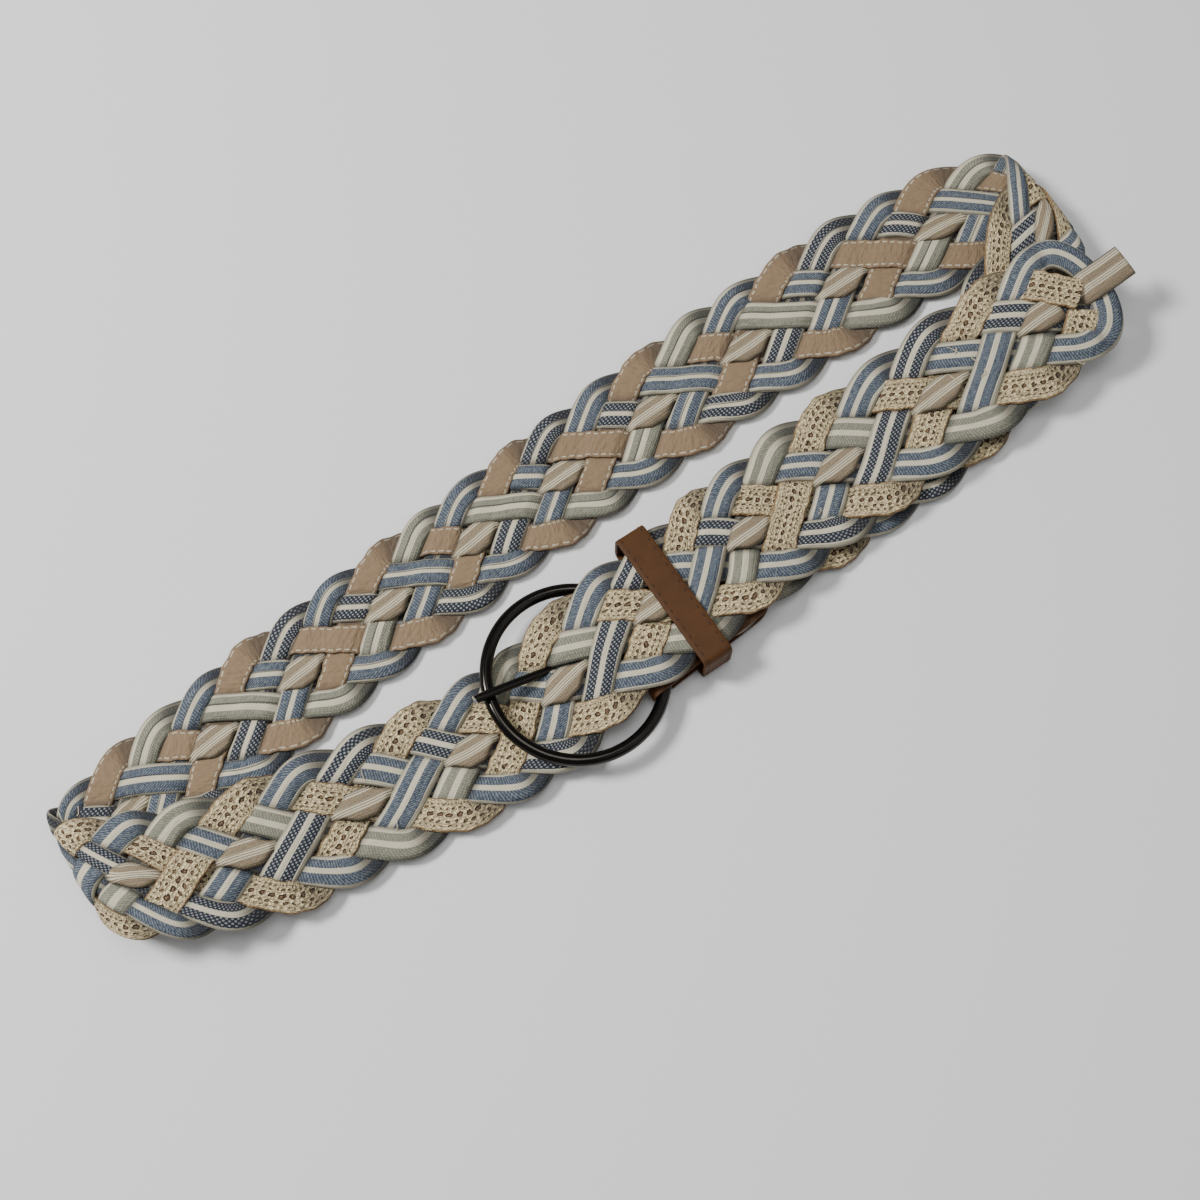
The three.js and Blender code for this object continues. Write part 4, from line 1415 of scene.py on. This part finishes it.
# Camera: place over the belt's course in millimetres, looking at a point of the table
CAMERA_PLACE = (-117.34, -180.88, 613.41)
CAMERA_AZIMUTH = math.radians(-34)
CAMERA_ELEVATION = math.radians(72)
CAMERA_LENS = 50.44


class BELT_OT_set_stage(bpy.types.Operator):
    """Set the floor, the lights and the camera"""
    bl_idname = "belt.set_stage"
    bl_label = "Set stage"

    def execute(self, context):
        bpy.ops.object.select_all(action="DESELECT")
        bpy.ops.mesh.primitive_plane_add(size=12, location=(0, 0, -0.0002))
        floor = context.object
        floor.name = "floor"
        paper = Finish("pale_paper", 0.95)
        paper.shader.inputs["Base Color"].default_value = (0.86, 0.86, 0.855, 1)
        paper.shader.inputs["Specular IOR Level"].default_value = 0.1
        floor.data.materials.append(paper.material)
        floor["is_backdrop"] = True

        # Each light's place and side in metres and its power in watts
        for name, place, size, power in (
            ("key_light", (-0.85, 0.75, 1.25), 0.38, 31),
            ("fill_light", (0.9, -0.9, 1.2), 1.4, 3.2),
            ("top_light", (0.1, 0.1, 1.7), 0.8, 8),
        ):
            lamp = bpy.data.lights.new(name, "AREA")
            lamp.size = size
            lamp.energy = power
            light = bpy.data.objects.new(name, lamp)
            light.location = place
            light.rotation_euler = (-Vector(place)).to_track_quat("-Z", "Y").to_euler()
            context.scene.collection.objects.link(light)
            light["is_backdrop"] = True
        world = bpy.data.worlds.new("soft_room")
        world.use_nodes = True
        world.node_tree.nodes["Background"].inputs[0].default_value = (0.95, 0.97, 1.0, 1)
        world.node_tree.nodes["Background"].inputs[1].default_value = 0.22
        context.scene.world = world

        lens = bpy.data.cameras.new("photo_camera")
        lens.lens = CAMERA_LENS
        lens.sensor_width = 36
        lens.sensor_fit = "HORIZONTAL"
        camera = bpy.data.objects.new("photo_camera", lens)
        camera.location = Vector(CAMERA_PLACE) * MM + Vector(course_shift())
        back = Vector((
            math.sin(CAMERA_AZIMUTH) * math.cos(CAMERA_ELEVATION),
            -math.cos(CAMERA_AZIMUTH) * math.cos(CAMERA_ELEVATION),
            math.sin(CAMERA_ELEVATION),
        ))
        right = Vector((math.cos(CAMERA_AZIMUTH), math.sin(CAMERA_AZIMUTH), 0))
        up = back.cross(right)
        camera.rotation_euler = Matrix((right, up, back)).transposed().to_euler()
        context.scene.collection.objects.link(camera)
        context.scene.camera = camera
        return {"FINISHED"}


GROUPS = (
    ("strap", StrapSettings),
    ("buckle", BuckleSettings),
    ("leather", LeatherSettings),
    ("colours", ColourSettings),
)
OPERATORS = (
    BELT_OT_weave_strands,
    BELT_OT_weave_core,
    BELT_OT_bend_ring,
    BELT_OT_bend_prong,
    BELT_OT_fold_tab,
    BELT_OT_wrap_keeper,
    BELT_OT_sew_stitches,
    BELT_OT_fray_threads,
    BELT_OT_set_stage,
)


class BELT_PT_panel(bpy.types.Panel):
    """Sizes, colours and steps of the belt"""
    bl_idname = "BELT_PT_panel"
    bl_label = "Braided ribbon belt"
    bl_space_type = "VIEW_3D"
    bl_region_type = "UI"
    bl_category = "Belt"

    def draw(self, context):
        for name, group in GROUPS:
            box = self.layout.box()
            box.label(text=group.__doc__)
            for prop in group.__annotations__:
                box.prop(getattr(context.scene, "belt_" + name), prop)
        for operator in OPERATORS:
            self.layout.operator(operator.bl_idname)


def register():
    for name, group in GROUPS:
        bpy.utils.register_class(group)
        setattr(bpy.types.Scene, "belt_" + name, PointerProperty(type=group))
    for cls in (*OPERATORS, BELT_PT_panel):
        bpy.utils.register_class(cls)


def unregister():
    for cls in (BELT_PT_panel, *reversed(OPERATORS)):
        bpy.utils.unregister_class(cls)
    for name, group in reversed(GROUPS):
        delattr(bpy.types.Scene, "belt_" + name)
        bpy.utils.unregister_class(group)


def corners():
    return [list(corner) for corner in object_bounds()]


def main():
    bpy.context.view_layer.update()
    register()
    for operator in OPERATORS:
        group, name = operator.bl_idname.split(".")
        getattr(getattr(bpy.ops, group), name)()


if __name__ == "__main__":
    main()
